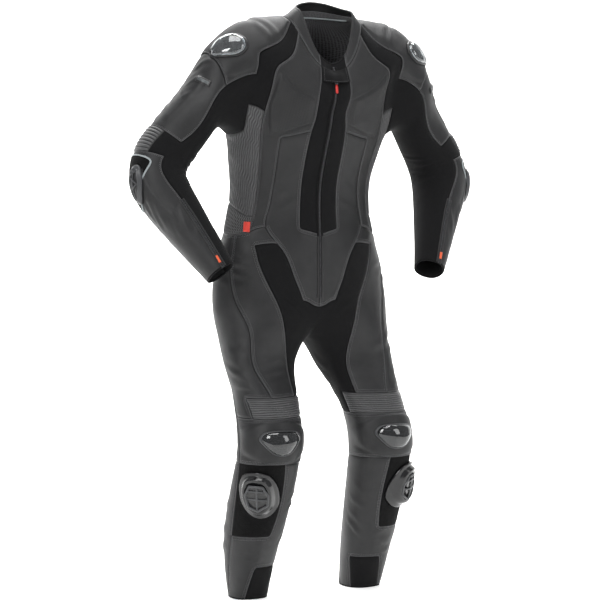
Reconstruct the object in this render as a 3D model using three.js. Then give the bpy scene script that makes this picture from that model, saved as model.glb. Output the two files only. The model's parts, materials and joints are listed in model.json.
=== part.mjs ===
// One-piece leather race suit, worn shape with no wearer: hollow torso, bent sleeves and legs.
// Millimetres, +Z up. The origin is the centre of the neck base, the wearer faces -Y, the wearer's left is +X.
// The garment is one cage of quads: torso rings from collar to crotch, with an arm and a leg joined on each side.
// The cage is rounded once, then cut into the pieces that a maker sews, each a thin wall with a seam gap.
import * as THREE from "three";

// Driving dimensions.
const WALL = 2.2; // leather or stretch cloth with its lining
const SEAM_GAP = 0.36;
const SHOULDER = [204, 0, -40];
const ELBOW = [392, 40, -314];
const WRIST = [280, -84, -528];

const rad = THREE.MathUtils.degToRad;
const lerp = THREE.MathUtils.lerp;
const vec = (p) => new THREE.Vector3(p[0], p[1], p[2]);

// The rounded section of a limb: a superellipse, squarer than an ellipse.
const ROUNDNESS = 2.25;
function sectionPoint(angle, side, front, back) {
  const s = Math.sin(rad(angle));
  const c = Math.cos(rad(angle));
  const power = 2 / ROUNDNESS;
  const depth = c > 0 ? front : back;
  return [side * Math.sign(s) * Math.abs(s) ** power, -depth * Math.sign(c) * Math.abs(c) ** power];
}

// Torso form by height. cy is the section's centre, side, front and back its reach from there.
const TORSO = [
  { z: -120, cy: -2, side: 202, front: 114, back: 120 },
  { z: -185, cy: 12, side: 206, front: 122, back: 124 },
  { z: -250, cy: 26, side: 196, front: 117, back: 124 },
  { z: -330, cy: 46, side: 176, front: 108, back: 120 },
  { z: -390, cy: 54, side: 172, front: 108, back: 118 },
  { z: -440, cy: 56, side: 188, front: 112, back: 124 },
  { z: -500, cy: 56, side: 208, front: 112, back: 134 },
  { z: -560, cy: 54, side: 224, front: 106, back: 140 },
  { z: -620, cy: 50, side: 232, front: 98, back: 140 },
  { z: -690, cy: 46, side: 234, front: 84, back: 130 },
];
function torsoForm(z) {
  const i = Math.max(0, TORSO.findIndex((row, k) => k > 0 && z >= row.z) - 1);
  const last = z < TORSO.at(-1).z;
  const a = last ? TORSO.at(-1) : TORSO[i];
  const b = last ? a : TORSO[i + 1];
  const t = last ? 0 : THREE.MathUtils.clamp((z - a.z) / (b.z - a.z), 0, 1);
  const mix = (key) => lerp(a[key], b[key], t);
  return { cy: mix("cy"), side: mix("side"), front: mix("front"), back: mix("back") };
}

// Rings over the shoulders: the height runs from the side's to the front's or the back's.
// angle lists columns 0 to 8, from centre front to centre back.
const YOKE_RINGS = [
  { zSide: 68, zFront: -70, zBack: 92, cy: -44, side: 72, front: 40, back: 66,
    angle: [0, 26, 40, 62, 78, 94, 118, 148, 180] },
  { zSide: 46, zFront: -84, zBack: 54, cy: -36, side: 92, front: 58, back: 84,
    angle: [0, 18, 38, 66, 84, 98, 118, 146, 180] },
  { zSide: 50, zFront: -112, zBack: 22, cy: -28, side: 158, front: 84, back: 100,
    angle: [0, 10.5, 26, 38, 46, 84, 110, 144, 180] },
  { zSide: 38, zFront: -148, zBack: -44, cy: -18, side: 230, front: 106, back: 116,
    angle: [0, 6.5, 27, 42.5, 49, 85, 114, 144, 180] },
];

// Rings below them: height and angle of columns 0 to 8. null is the armhole.
const TORSO_RINGS = [
  { z: [-174, -170, -166, -118, -66, null, -96, -112, -120], angle: [0, 6, 29, 46, 55.5, 90, 116, 146, 180] },
  { z: [-196, -190, -204, -174, -160, null, -160, -160, -164], angle: [0, 6, 33, 49, 63, 90, 116, 147, 180] },
  { z: [-216, -206, -240, -220, -222, -224, -220, -206, -210], angle: [0, 8, 36, 50, 65, 90, 117, 148, 180] },
  { z: [-266, -266, -288, -256, -256, -262, -262, -256, -260], angle: [0, 10, 37, 49, 68, 91, 118, 150, 180] },
  { z: [-330, -330, -338, -330, -330, -330, -330, -330, -330], angle: [0, 10.5, 40, 50, 70, 92, 119, 150, 180] },
  { z: [-392, -392, -396, -438, -412, -384, -368, -372, -376], angle: [0, 10.5, 45, 53, 71, 92, 119, 150, 180] },
  { z: [-468, -442, -434, -448, -462, -464, -460, -452, -448], angle: [0, 9, 52, 59, 74, 92, 119, 150, 180] },
  { z: [-500, -490, -474, -482, -486, -490, -490, -488, -486], angle: [0, 10, 29, 46, 74, 92, 120, 150, 180] },
  { z: [-532, -526, -506, -514, -524, -532, -532, -532, -532], angle: [0, 8, 17.5, 44, 74, 92, 120, 150, 180] },
  { z: [-580, -574, -558, -566, -576, -586, -588, -590, -590], angle: [0, 6, 12.5, 32, 70, 92, 120, 150, 180] },
  { z: [-634, -626, -606, -608, -624, -640, -644, -646, -644], angle: [0, 3.5, 6, 23, 62, 90, 120, 150, 180] },
];

// Top of the legs: the same columns, without column 1, brought in to the crotch.
const CROTCH_RING = [
  { column: 0, at: [0, -30, -664] },
  { column: 2, at: [26, -40, -664] },
  { column: 3, at: [88, -56, -660] },
  { column: 4, at: [178, -46, -676] },
  { column: 5, at: [224, 26, -692] },
  { column: 6, at: [200, 120, -694] },
  { column: 7, at: [112, 164, -694] },
  { column: 8, at: [0, 124, -662] },
];
const CROTCH_LINE = [
  [0, 76, -684],
  [0, 18, -684],
];

// Leg sections. turn swings a section's front outward; angle lists the 10 columns:
// the crotch's front, its groin seam, thigh front seam, outer front, outer side, back and inner side.
const LEG = [
  { z: -752, cx: 128, cy: 36, side: 88, front: 118, back: 114, turn: 24,
    angle: [-104, -96, -86, 18, 74, 114, 148, 180, -150, -122] },
  { z: -796, cx: 134, cy: 14, side: 82, front: 100, back: 104, turn: 20,
    angle: [-106, -96, -84, 4, 60, 108, 144, 180, -150, -124] },
  { z: -830, cx: 139, cy: -6, side: 80, front: 84, back: 90, turn: 10,
    angle: [-106, -94, -76, 2, 56, 106, 144, 182, -148, -124] },
  { z: -880, cx: 145, cy: -30, side: 79, front: 78, back: 78, turn: 2,
    angle: [-104, -88, -58, 0, 52, 106, 144, 184, -144, -122] },
  { z: -928, cx: 149, cy: -42, side: 80, front: 80, back: 76, turn: 0,
    angle: [-102, -84, -50, -2, 46, 100, 144, 186, -142, -120] },
  { z: -976, cx: 153, cy: -40, side: 80, front: 78, back: 76, turn: -6,
    angle: [-100, -82, -46, -4, 42, 96, 143, 186, -142, -118] },
  { z: -1070, cx: 157, cy: -14, side: 78, front: 74, back: 86, turn: -14,
    angle: [-96, -76, -42, -8, 38, 97, 145, 186, -142, -116] },
  { z: -1162, cx: 159, cy: 20, side: 70, front: 70, back: 82, turn: -17,
    angle: [-92, -68, -34, 2, 40, 93, 142, 186, -142, -114] },
  { z: -1236, cx: 157, cy: 42, side: 60, front: 61, back: 68, turn: -10,
    angle: [-92, -62, -24, 24, 55, 92, 140, 184, -144, -116] },
  { z: -1316, cx: 152, cy: 58, side: 48, front: 54, back: 52, turn: 0,
    angle: [-92, -60, -20, 40, 66, 95, 140, 184, -144, -116] },
];

// Arm sections along the sleeve: t runs 0 to 1 from shoulder to elbow and 1 to 2 from elbow to wrist.
// skew sets the inner side of a section further down the sleeve. angle lists the 10 columns from the outer front
// corner of the armhole, over the outside, back, inside and front.
const ARM = [
  { t: 0.13, skew: 0.33, out: 72, front: 80, shift: 2, angle: [42, 2, -36, -72, -110, -148, 176, 146, 114, 80] },
  { t: 0.34, skew: 0.2, out: 60, front: 76, shift: -6, angle: [36, 2, -34, -70, -108, -146, 178, 146, 118, 92] },
  { t: 0.54, skew: 0.1, out: 61, front: 71, shift: -8, angle: [36, 2, -33, -68, -106, -144, 180, 150, 124, 98] },
  { t: 0.72, skew: 0, out: 66, front: 69, shift: -4, angle: [36, 2, -32, -68, -106, -144, 180, 148, 120, 88] },
  { t: 0.9, skew: 0, out: 70, front: 70, shift: 0, angle: [34, 2, -34, -70, -106, -144, 180, 146, 114, 72] },
  { t: 1.1, skew: 0, out: 70, front: 70, shift: 0, angle: [36, 0, -36, -72, -108, -144, 180, 146, 116, 78] },
  { t: 1.34, skew: 0, out: 62, front: 63, shift: 0, angle: [40, 0, -38, -74, -108, -144, 180, 148, 120, 88] },
  { t: 1.6, skew: 0, out: 52, front: 55, shift: 0, angle: [44, 4, -36, -72, -108, -144, 180, 150, 122, 90] },
  { t: 2.01, skew: 0, out: 38, front: 41, shift: 0, angle: [44, 4, -36, -72, -108, -144, 180, 150, 121, 82] },
  { t: 2.06, skew: 0, out: 38, front: 40, shift: 0, angle: [44, 4, -36, -72, -108, -144, 180, 150, 121, 82] },
];

// The stance: how far the body stands to the wearer's left or right, by height.
const STANCE = [
  { z: -60, shift: 0 },
  { z: -180, shift: -16 },
  { z: -340, shift: -22 },
  { z: -480, shift: -18 },
  { z: -640, shift: -14 },
  { z: -760, shift: -10 },
  { z: -850, shift: 2 },
  { z: -960, shift: 6 },
  { z: -1320, shift: -2 },
];
function stance(p) {
  const i = Math.max(1, STANCE.findIndex((row) => p[2] >= row.z));
  const [above, below] = p[2] < STANCE.at(-1).z ? STANCE.slice(-2) : [STANCE[i - 1], STANCE[i]];
  const t = THREE.MathUtils.smoothstep(-p[2], -above.z, -below.z);
  return [p[0] + lerp(above.shift, below.shift, t), p[1], p[2]];
}

// The bent axis of a sleeve: a quadratic bend at the elbow between two straight runs.
const shoulder = vec(SHOULDER);
const elbow = vec(ELBOW);
const wrist = vec(WRIST);
const BEND = 0.22;
const bendStart = shoulder.clone().lerp(elbow, 1 - BEND);
const bendEnd = elbow.clone().lerp(wrist, BEND);
const bend = new THREE.QuadraticBezierCurve3(bendStart, elbow, bendEnd);
function armAxis(t) {
  const straight = t <= 1 - BEND || t >= 1 + BEND;
  if (!straight) {
    const u = (t - 1 + BEND) / (2 * BEND);
    return { at: bend.getPoint(u), along: bend.getTangent(u) };
  }
  const [from, to, u] = t < 1 ? [shoulder, elbow, t] : [elbow, wrist, t - 1];
  return { at: from.clone().lerp(to, u), along: to.clone().sub(from).normalize() };
}
function armFrame(t) {
  const { at, along } = armAxis(t);
  const out = new THREE.Vector3(1, 0, 0);
  out.addScaledVector(along, -out.dot(along)).normalize();
  const front = new THREE.Vector3().crossVectors(along, out);
  return { at, along, out, front };
}

// Building the left half of the cage. Each vertex is a point, each face a list of vertices with its piece's name
// and, at each corner, its column and row, which ribs and pads are worked out from.
const cage = { points: [], faces: [] };
const keyed = new Map();
function vertex(key, point) {
  if (!keyed.has(key)) {
    keyed.set(key, cage.points.length);
    cage.points.push(point);
  }
  return keyed.get(key);
}
function face(piece, corners, places) {
  const kept = corners.map((v, i) => i).filter((i) => corners[i] !== corners[(i + 1) % corners.length]);
  kept.reverse();
  cage.faces.push({ piece, verts: kept.map((i) => corners[i]), uv: kept.map((i) => places[i]) });
}

const COLUMNS = 8;
function yokePoint(ring, k) {
  const [x, y] = sectionPoint(ring.angle[k], ring.side, ring.front, ring.back);
  const c = Math.cos(rad(ring.angle[k]));
  const end = c > 0 ? ring.zFront : ring.zBack;
  return [x, ring.cy + y, lerp(ring.zSide, end, c * c)];
}
function torsoPoint(ring, k) {
  const form = torsoForm(ring.z[k]);
  const [x, y] = sectionPoint(ring.angle[k], form.side, form.front, form.back);
  return [x, form.cy + y, ring.z[k]];
}
const YOKE_ROWS = YOKE_RINGS.length;
const TORSO_ROWS = YOKE_ROWS + TORSO_RINGS.length;
function torsoVertex(r, k) {
  const key = `torso ${r} ${k}`;
  if (r < YOKE_ROWS) return vertex(key, yokePoint(YOKE_RINGS[r], k));
  if (r < TORSO_ROWS) return vertex(key, torsoPoint(TORSO_RINGS[r - YOKE_ROWS], k));
  const column = k === 1 ? 0 : k;
  return vertex(`crotch ${column}`, CROTCH_RING.find((c) => c.column === column).at);
}

// Which piece a face of the torso belongs to, by the row and column of its upper front corner.
const ROW = { collar: 0, shoulder: 2, ribs: 5, armpit: 6, mesh: 9, hip: 10, groin: 11, tip: 14 };
function torsoPiece(r, k) {
  if (r >= ROW.shoulder + 1 && r < ROW.armpit && (k === 4 || k === 5)) return null;
  if (k === 0 && r < ROW.hip) return "zip_panel";
  if (r === ROW.collar) return "collar";
  if (r < ROW.armpit) {
    if (k < 3) return "chest";
    if (k === 3) return r < ROW.ribs ? "stretch" : "side_ribs";
    return k < 6 ? "shoulder" : "back_upper";
  }
  if (r < ROW.hip) {
    if (k === 1) return "abdomen";
    if (k === 2) return "chest";
    if (k >= 6) return r < ROW.mesh - 1 ? "back_upper" : "back_lower";
    return r < ROW.mesh ? "side_ribs" : "hip_mesh";
  }
  if (k >= 6) return "seat";
  if (k < 2) return r < ROW.tip ? "abdomen" : "gusset";
  if (k === 2) return r < ROW.groin ? "thigh_front" : "gusset";
  return k === 3 ? "thigh_front" : "thigh_outer";
}
for (let r = 0; r < TORSO_ROWS; r++) {
  for (let k = 0; k < COLUMNS; k++) {
    const piece = torsoPiece(r, k);
    if (!piece) continue;
    const places = [[k, r], [k + 1, r], [k + 1, r + 1], [k, r + 1]];
    face(piece, places.map(([c, row]) => torsoVertex(row, c)), places);
  }
}

// The leg: its first ring is the crotch ring and the crotch line.
const LEG_COLUMNS = 10;
function legVertex(r, k) {
  if (r === 0) {
    return k < 8 ? vertex(`crotch ${k === 0 ? 0 : k + 1}`) : vertex(`crotch line ${k}`, CROTCH_LINE[k - 8]);
  }
  const ring = LEG[r - 1];
  const [across, along] = sectionPoint(ring.angle[k], ring.side, ring.front, ring.back);
  const turn = rad(ring.turn);
  const x = ring.cx + across * Math.cos(turn) - along * Math.sin(turn);
  const y = ring.cy + across * Math.sin(turn) + along * Math.cos(turn);
  return vertex(`leg ${r} ${k}`, [x, y, ring.z]);
}
function legPiece(r, k) {
  const inner = k === 8 || k === 9 || k === 0;
  const back = k === 6 || k === 7 || k === 5;
  if (r < 4) {
    if (inner) return "gusset";
    if (k === 1) return r < 3 ? "gusset" : "knee_ribs";
    if (back) return "leg_back";
    if (r < 3) return k === 2 ? "thigh_front" : "thigh_outer";
    return k < 4 ? "knee_ribs" : "thigh_outer";
  }
  if (r < 6) return back || k === 8 ? "leg_back" : "knee_cup";
  if (r < 8) {
    if (k === 3 || k === 4) return "slider_base";
    return back || k === 8 ? "calf" : "shin";
  }
  if (r === 9 && (k === 1 || k === 2)) return "ankle_stretch";
  return back || k === 8 ? "calf" : "shin";
}
for (let r = 0; r < LEG.length; r++) {
  for (let k = 0; k < LEG_COLUMNS; k++) {
    const next = (k + 1) % LEG_COLUMNS;
    const corners = [legVertex(r, k), legVertex(r, next), legVertex(r + 1, next), legVertex(r + 1, k)];
    face(legPiece(r, k), corners, [[k, r], [k + 1, r], [k + 1, r + 1], [k, r + 1]]);
  }
}

// The arm: its first ring is the edge of the armhole.
const ARM_COLUMNS = 10;
const ARMHOLE = [[3, 4], [3, 5], [3, 6], [4, 6], [5, 6], [6, 6], [6, 5], [6, 4], [5, 4], [4, 4]];
function armVertex(r, k) {
  if (r === 0) return torsoVertex(...ARMHOLE[k]);
  const ring = ARM[r - 1];
  const { at, out, front } = armFrame(ring.t + ring.skew * (1 - Math.cos(rad(ring.angle[k]))) / 2);
  const [toFront, toOut] = sectionPoint(ring.angle[k], ring.front, ring.out, ring.out);
  const p = at.clone().addScaledVector(out, -toOut + ring.shift).addScaledVector(front, toFront);
  return vertex(`arm ${r} ${k}`, p.toArray());
}
function armPiece(r, k) {
  const outside = k === 0 || k === 1 || k === 2;
  const behind = k === 3 || k === 4;
  if (r === 0) return outside || k === 9 ? "shoulder" : "stretch";
  if (k === 9) return r === 4 ? "stretch" : r < 4 ? "upper_arm" : "forearm";
  if (!outside && !behind) return "stretch";
  if (r < 4) return "upper_arm";
  if (r < 5) return outside ? "elbow_ribs" : "upper_arm";
  return "forearm";
}
for (let r = 0; r < ARM.length; r++) {
  for (let k = 0; k < ARM_COLUMNS; k++) {
    const next = (k + 1) % ARM_COLUMNS;
    const corners = [armVertex(r, k), armVertex(r, next), armVertex(r + 1, next), armVertex(r + 1, k)];
    face(armPiece(r, k), corners, [[k, r], [k + 1, r], [k + 1, r + 1], [k, r + 1]]);
  }
}

// The whole cage: the left half and its mirror image, joined on the centre plane.
const SINGLE = new Set(["collar", "back_upper", "back_lower", "seat", "gusset"]);
function wholeCage() {
  const points = cage.points.map((p) => [...p]);
  const twin = cage.points.map((p, i) => {
    if (Math.abs(p[0]) < 1e-6) return i;
    points.push([-p[0], p[1], p[2]]);
    return points.length - 1;
  });
  const side = (piece, word) => (SINGLE.has(piece) ? piece : `${piece}_${word}`);
  const left = cage.faces.map((f) => ({ ...f, piece: side(f.piece, "left") }));
  const right = cage.faces.map((f) => ({
    piece: side(f.piece, "right"),
    verts: f.verts.map((v) => twin[v]).reverse(),
    uv: [...f.uv].reverse(),
  }));
  return { points: points.map((p) => vec(stance(p))), faces: [...left, ...right] };
}

// One round of Catmull-Clark smoothing. A face's pieces and places pass to the four faces cut from it.
function smooth(mesh) {
  const edges = new Map();
  const edgeKey = (a, b) => (a < b ? `${a} ${b}` : `${b} ${a}`);
  const centres = mesh.faces.map((f) => average(f.verts.map((v) => mesh.points[v])));
  mesh.faces.forEach((f, fi) => {
    f.verts.forEach((a, i) => {
      const b = f.verts[(i + 1) % f.verts.length];
      const key = edgeKey(a, b);
      if (!edges.has(key)) edges.set(key, { a, b, faces: [] });
      edges.get(key).faces.push(fi);
    });
  });
  const around = mesh.points.map(() => ({ faces: [], edges: [] }));
  mesh.faces.forEach((f, fi) => f.verts.forEach((v) => around[v].faces.push(fi)));
  for (const e of edges.values()) {
    e.middle = average([mesh.points[e.a], mesh.points[e.b]]);
    around[e.a].edges.push(e);
    around[e.b].edges.push(e);
  }
  const points = mesh.points.map((p, v) => {
    const rim = around[v].edges.filter((e) => e.faces.length === 1);
    if (rim.length) return average(rim.map((e) => e.middle)).add(p).multiplyScalar(0.5);
    const n = around[v].faces.length;
    const f = average(around[v].faces.map((i) => centres[i]));
    const m = average(around[v].edges.map((e) => e.middle));
    return f.addScaledVector(m, 2).addScaledVector(p, n - 3).multiplyScalar(1 / n);
  });
  const centreAt = centres.map((c) => points.push(c) - 1);
  for (const e of edges.values()) {
    const ends = e.faces.length === 2 ? average(e.faces.map((i) => centres[i])) : e.middle;
    e.at = points.push(average([ends, e.middle])) - 1;
  }
  const faces = mesh.faces.flatMap((f, fi) => {
    const n = f.verts.length;
    const uvCentre = averagePlace(f.uv);
    return f.verts.map((v, i) => {
      const next = (i + 1) % n;
      const last = (i + n - 1) % n;
      return {
        piece: f.piece,
        verts: [v, edges.get(edgeKey(v, f.verts[next])).at, centreAt[fi], edges.get(edgeKey(f.verts[last], v)).at],
        uv: [f.uv[i], averagePlace([f.uv[i], f.uv[next]]), uvCentre, averagePlace([f.uv[last], f.uv[i]])],
      };
    });
  });
  return { points, faces };
}
function average(list) {
  return list.reduce((sum, p) => sum.add(p), new THREE.Vector3()).multiplyScalar(1 / list.length);
}
function averagePlace(list) {
  return [0, 1].map((i) => list.reduce((sum, p) => sum + p[i], 0) / list.length);
}

// Outward directions at the points, shared by the pieces that meet there, so their edges stand parallel.
function outwards(mesh) {
  const normals = mesh.points.map(() => new THREE.Vector3());
  for (const f of mesh.faces) {
    const [a, b, c, d] = f.verts.map((v) => mesh.points[v]);
    const n = new THREE.Vector3().crossVectors(c.clone().sub(a), d.clone().sub(b));
    f.verts.forEach((v) => normals[v].add(n));
  }
  return normals.map((n) => n.normalize());
}

// How far each edge point of a piece draws back from its seam, square to the seam.
function seamInsets(mesh, faces, normals) {
  const open = new Map();
  for (const f of faces) {
    f.verts.forEach((a, i) => {
      const b = f.verts[(i + 1) % 4];
      if (open.has(`${b} ${a}`)) open.delete(`${b} ${a}`);
      else open.set(`${a} ${b}`, [a, b]);
    });
  }
  const inward = new Map();
  for (const [a, b] of open.values()) {
    const along = mesh.points[b].clone().sub(mesh.points[a]).normalize();
    for (const v of [a, b]) {
      const square = new THREE.Vector3().crossVectors(normals[v], along).normalize();
      if (!inward.has(v)) inward.set(v, []);
      inward.get(v).push(square);
    }
  }
  const insets = new Map();
  for (const [v, squares] of inward) {
    const sum = squares.reduce((s, q) => s.add(q), new THREE.Vector3());
    const turn = Math.max(0.35, sum.lengthSq() / squares.length ** 2);
    insets.set(v, sum.multiplyScalar(SEAM_GAP / 2 / squares.length / turn));
  }
  return insets;
}

// One piece as a closed wall. cuts gives the finer steps along a face's columns and rows, lift the height that
// ribs and pads add to the outer side at a place.
function wall(mesh, normals, faces, { cuts = [1, 1], lift = () => 0, depth = () => WALL } = {}) {
  const insets = seamInsets(mesh, faces, normals);
  const corners = new Map();
  const positions = [];
  const grid = [];
  function add(key, p, n, uv) {
    if (!corners.has(key)) {
      corners.set(key, positions.length / 2);
      positions.push(p.clone().addScaledVector(n, lift(...uv)), p.clone().addScaledVector(n, -depth(...uv)));
    }
    return corners.get(key);
  }
  for (const f of faces) {
    const p = f.verts.map((v) => mesh.points[v].clone().add(insets.get(v) ?? new THREE.Vector3()));
    const acrossColumns = (i) => Math.abs(f.uv[i][0] - f.uv[(i + 1) % 4][0]) > Math.abs(f.uv[i][1] - f.uv[(i + 1) % 4][1]);
    const steps = acrossColumns(0) ? cuts : [cuts[1], cuts[0]];
    const at = (i, j) => {
      const [s, t] = [i / steps[0], j / steps[1]];
      const weights = [(1 - s) * (1 - t), s * (1 - t), s * t, (1 - s) * t];
      const point = new THREE.Vector3();
      const normal = new THREE.Vector3();
      const uv = [0, 0];
      weights.forEach((w, c) => {
        point.addScaledVector(p[c], w);
        normal.addScaledVector(normals[f.verts[c]], w);
        uv[0] += f.uv[c][0] * w;
        uv[1] += f.uv[c][1] * w;
      });
      return add(gridKey(f.verts, i, j, steps), point, normal.normalize(), uv);
    };
    for (let i = 0; i < steps[0]; i++) {
      for (let j = 0; j < steps[1]; j++) grid.push([at(i, j), at(i + 1, j), at(i + 1, j + 1), at(i, j + 1)]);
    }
  }
  return closedWall(positions, grid);
}
// A grid point's name is the same from both faces that share it.
function gridKey(verts, i, j, steps) {
  const [a, b, c, d] = verts;
  const [ni, nj] = steps;
  const onEdge = (p, q, k, n) => (k === 0 ? `${p}` : k === n ? `${q}` : p < q ? `${p} ${q} ${k}` : `${q} ${p} ${n - k}`);
  if (j === 0) return onEdge(a, b, i, ni);
  if (j === nj) return onEdge(d, c, i, ni);
  if (i === 0) return onEdge(a, d, j, nj);
  if (i === ni) return onEdge(b, c, j, nj);
  return `${a} ${c} inside ${i} ${j}`;
}
// The positions alternate outer and inner. The grid's open edges get a rim from one to the other.
function closedWall(positions, grid) {
  const index = [];
  const open = new Map();
  for (const q of grid) {
    const outer = q.map((v) => 2 * v);
    const inner = q.map((v) => 2 * v + 1);
    index.push(outer[0], outer[1], outer[2], outer[0], outer[2], outer[3]);
    index.push(inner[0], inner[2], inner[1], inner[0], inner[3], inner[2]);
    q.forEach((a, i) => {
      const b = q[(i + 1) % 4];
      if (open.has(`${b} ${a}`)) open.delete(`${b} ${a}`);
      else open.set(`${a} ${b}`, [a, b]);
    });
  }
  for (const [a, b] of open.values()) {
    index.push(2 * a, 2 * a + 1, 2 * b + 1, 2 * a, 2 * b + 1, 2 * b);
  }
  const geometry = new THREE.BufferGeometry();
  geometry.setAttribute("position", new THREE.Float32BufferAttribute(positions.flatMap((p) => p.toArray()), 3));
  geometry.setIndex(index);
  return geometry;
}

const shell = smooth(wholeCage());
const outward = outwards(shell);
const group = new THREE.Group();
function add(name, geometry, material) {
  const mesh = new THREE.Mesh(geometry, material);
  mesh.name = name;
  group.add(mesh);
}
const material = (name, color, roughness, metalness = 0) =>
  new THREE.MeshStandardMaterial({ name, color, roughness, metalness });
const LEATHER = material("leather", 0x242426, 0.6);
const STRETCH = material("stretch_cloth", 0x121214, 0.9);
const RIBBED = material("ribbed_leather", 0x1f1f21, 0.65);
const MESH_CLOTH = material("mesh_cloth", 0x18181a, 0.9);
const FUZZ = material("loop_cloth", 0x151517, 1);
const SHIELD = material("smoked_shield", 0x2a2b2e, 0.15);
const PUCK = material("slider_plastic", 0x2c2c2f, 0.35);
const ZIP = material("zip_tape", 0x0e0e10, 0.8);
const METAL = material("zip_metal", 0x3a3a3c, 0.35, 0.9);
const RED = material("red_tab", 0xb3201c, 0.6);

// How high a rib stands at a place: ribs a whole number to a column or row, flat at the seams.
const RIB_HEIGHT = 2;
const ribs = (perUnit, axis) => (u, v) => {
  const along = (axis === "u" ? u : v) * perUnit;
  return RIB_HEIGHT * (1 - Math.abs(((along % 1) + 1) % 1 - 0.5) * 2) ** 0.8;
};
// How high a pad stands: level inside its outline of places, sloping down over its edge.
const pad = (height, outline, slope) => (u, v) => {
  const inside = outline.map(([u0, v0], i) => {
    const [u1, v1] = outline[(i + 1) % outline.length];
    const length = Math.hypot(u1 - u0, v1 - v0);
    return ((u1 - u0) * (v - v0) - (v1 - v0) * (u - u0)) / length;
  });
  return height * THREE.MathUtils.smoothstep(Math.min(...inside), 0, slope);
};

// Pieces with a raised form, then the cloth each piece is cut from. All others are plain leather.
const FORM = {
  side_ribs: { cuts: [4, 1], lift: ribs(4, "u") },
  knee_ribs: { cuts: [1, 12], lift: ribs(12, "v") },
  elbow_ribs: { cuts: [1, 8], lift: ribs(8, "v") },
  chest: { lift: pad(3.5, [[1.2, 3.4], [2.7, 3.1], [2.8, 4.6], [2.4, 5.9], [1.2, 5.4]], 0.5) },
};
const CLOTH = {
  side_ribs: RIBBED,
  knee_ribs: RIBBED,
  elbow_ribs: RIBBED,
  hip_mesh: MESH_CLOTH,
  slider_base: FUZZ,
  ...Object.fromEntries(["zip_panel", "stretch", "gusset", "ankle_stretch"].map((n) => [n, STRETCH])),
};
const SIDES = { left: 1, right: -1 };
for (const piece of new Set(shell.faces.map((f) => f.piece))) {
  const kind = piece.replace(/_(left|right)$/, "");
  const faces = shell.faces.filter((f) => f.piece === piece);
  add(piece, wall(shell, outward, faces, FORM[kind]), CLOTH[kind] ?? LEATHER);
}

// The point of the garment's surface met on the way from outside along a direction.
function onSurface(point, direction) {
  const ray = new THREE.Ray(point.clone().addScaledVector(direction, 70), direction.clone().negate());
  let nearest = null;
  for (const f of shell.faces) {
    const [a, b, c, d] = f.verts.map((v) => shell.points[v]);
    for (const [p, q, r] of [[a, b, c], [a, c, d]]) {
      const hit = ray.intersectTriangle(p, q, r, true, new THREE.Vector3());
      if (hit && (!nearest || hit.distanceTo(ray.origin) < nearest.distanceTo(ray.origin))) nearest = hit;
    }
  }
  return nearest;
}

// A hard shield or slider on a panel: its underside clears the panel, its top rises from the rim over rings.
// outline is [across, up] from the centre, rings is [size, height] from the rim inwards.
const REST = 1.3;
function puck(centre, direction, outline, rings) {
  const n = vec(direction).normalize();
  const across = new THREE.Vector3(-n.y, n.x, 0).normalize();
  const up = new THREE.Vector3().crossVectors(n, across);
  const middle = onSurface(vec(centre), n);
  const place = (x, y, h) => middle.clone().addScaledVector(across, x).addScaledVector(up, y).addScaledVector(n, h);
  const panel = (x, y) => onSurface(place(x, y, 0), n).sub(middle).dot(n) + REST;

  // The underside: rings of points on the panel, raised until the flat faces between them clear it too.
  const count = outline.length;
  const under = [1, 0.66, 0.33].flatMap((size) => outline.map(([x, y]) => [x * size, y * size, panel(x * size, y * size)]));
  under.push([0, 0, panel(0, 0)]);
  const underFaces = [];
  for (let i = 0; i < count; i++) {
    const j = (i + 1) % count;
    for (const ring of [0, count]) {
      underFaces.push([ring + i, ring + count + i, ring + count + j], [ring + i, ring + count + j, ring + j]);
    }
    underFaces.push([2 * count + i, 3 * count, 2 * count + j]);
  }
  const samples = [[0.5, 0.5, 0], [0, 0.5, 0.5], [0.5, 0, 0.5], [0.34, 0.33, 0.33]];
  for (let pass = 0; pass < 8; pass++) {
    for (const corners of underFaces) {
      for (const weights of samples) {
        const [x, y, h] = [0, 1, 2].map((a) => corners.reduce((sum, v, c) => sum + under[v][a] * weights[c], 0));
        const short = Math.max(0, panel(x, y) - h);
        corners.forEach((v, c) => (under[v][2] += weights[c] > 0 ? short : 0));
      }
    }
  }

  const positions = under.map(([x, y, h]) => place(x, y, h));
  const index = underFaces.flat();
  const levels = rings.map(([size, height]) =>
    outline.map(([x, y], i) => positions.push(place(x * size, y * size, topOf(size, i) + height)) - 1));
  function topOf(size, i) {
    return lerp(under[3 * count][2], under[i][2], size * size);
  }
  const join = (a, b) => {
    for (let i = 0; i < count; i++) {
      const j = (i + 1) % count;
      index.push(a[i], a[j], b[j], a[i], b[j], b[i]);
    }
  };
  join(outline.map((_, i) => i), levels[0]);
  levels.slice(1).forEach((ring, i) => join(levels[i], ring));
  const crown = positions.push(place(0, 0, under[3 * count][2] + rings.at(-1)[1])) - 1;
  levels.at(-1).forEach((v, i) => index.push(v, levels.at(-1)[(i + 1) % count], crown));
  const geometry = new THREE.BufferGeometry();
  geometry.setAttribute("position", new THREE.Float32BufferAttribute(positions.flatMap((p) => p.toArray()), 3));
  geometry.setIndex(index);
  return geometry;
}

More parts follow.
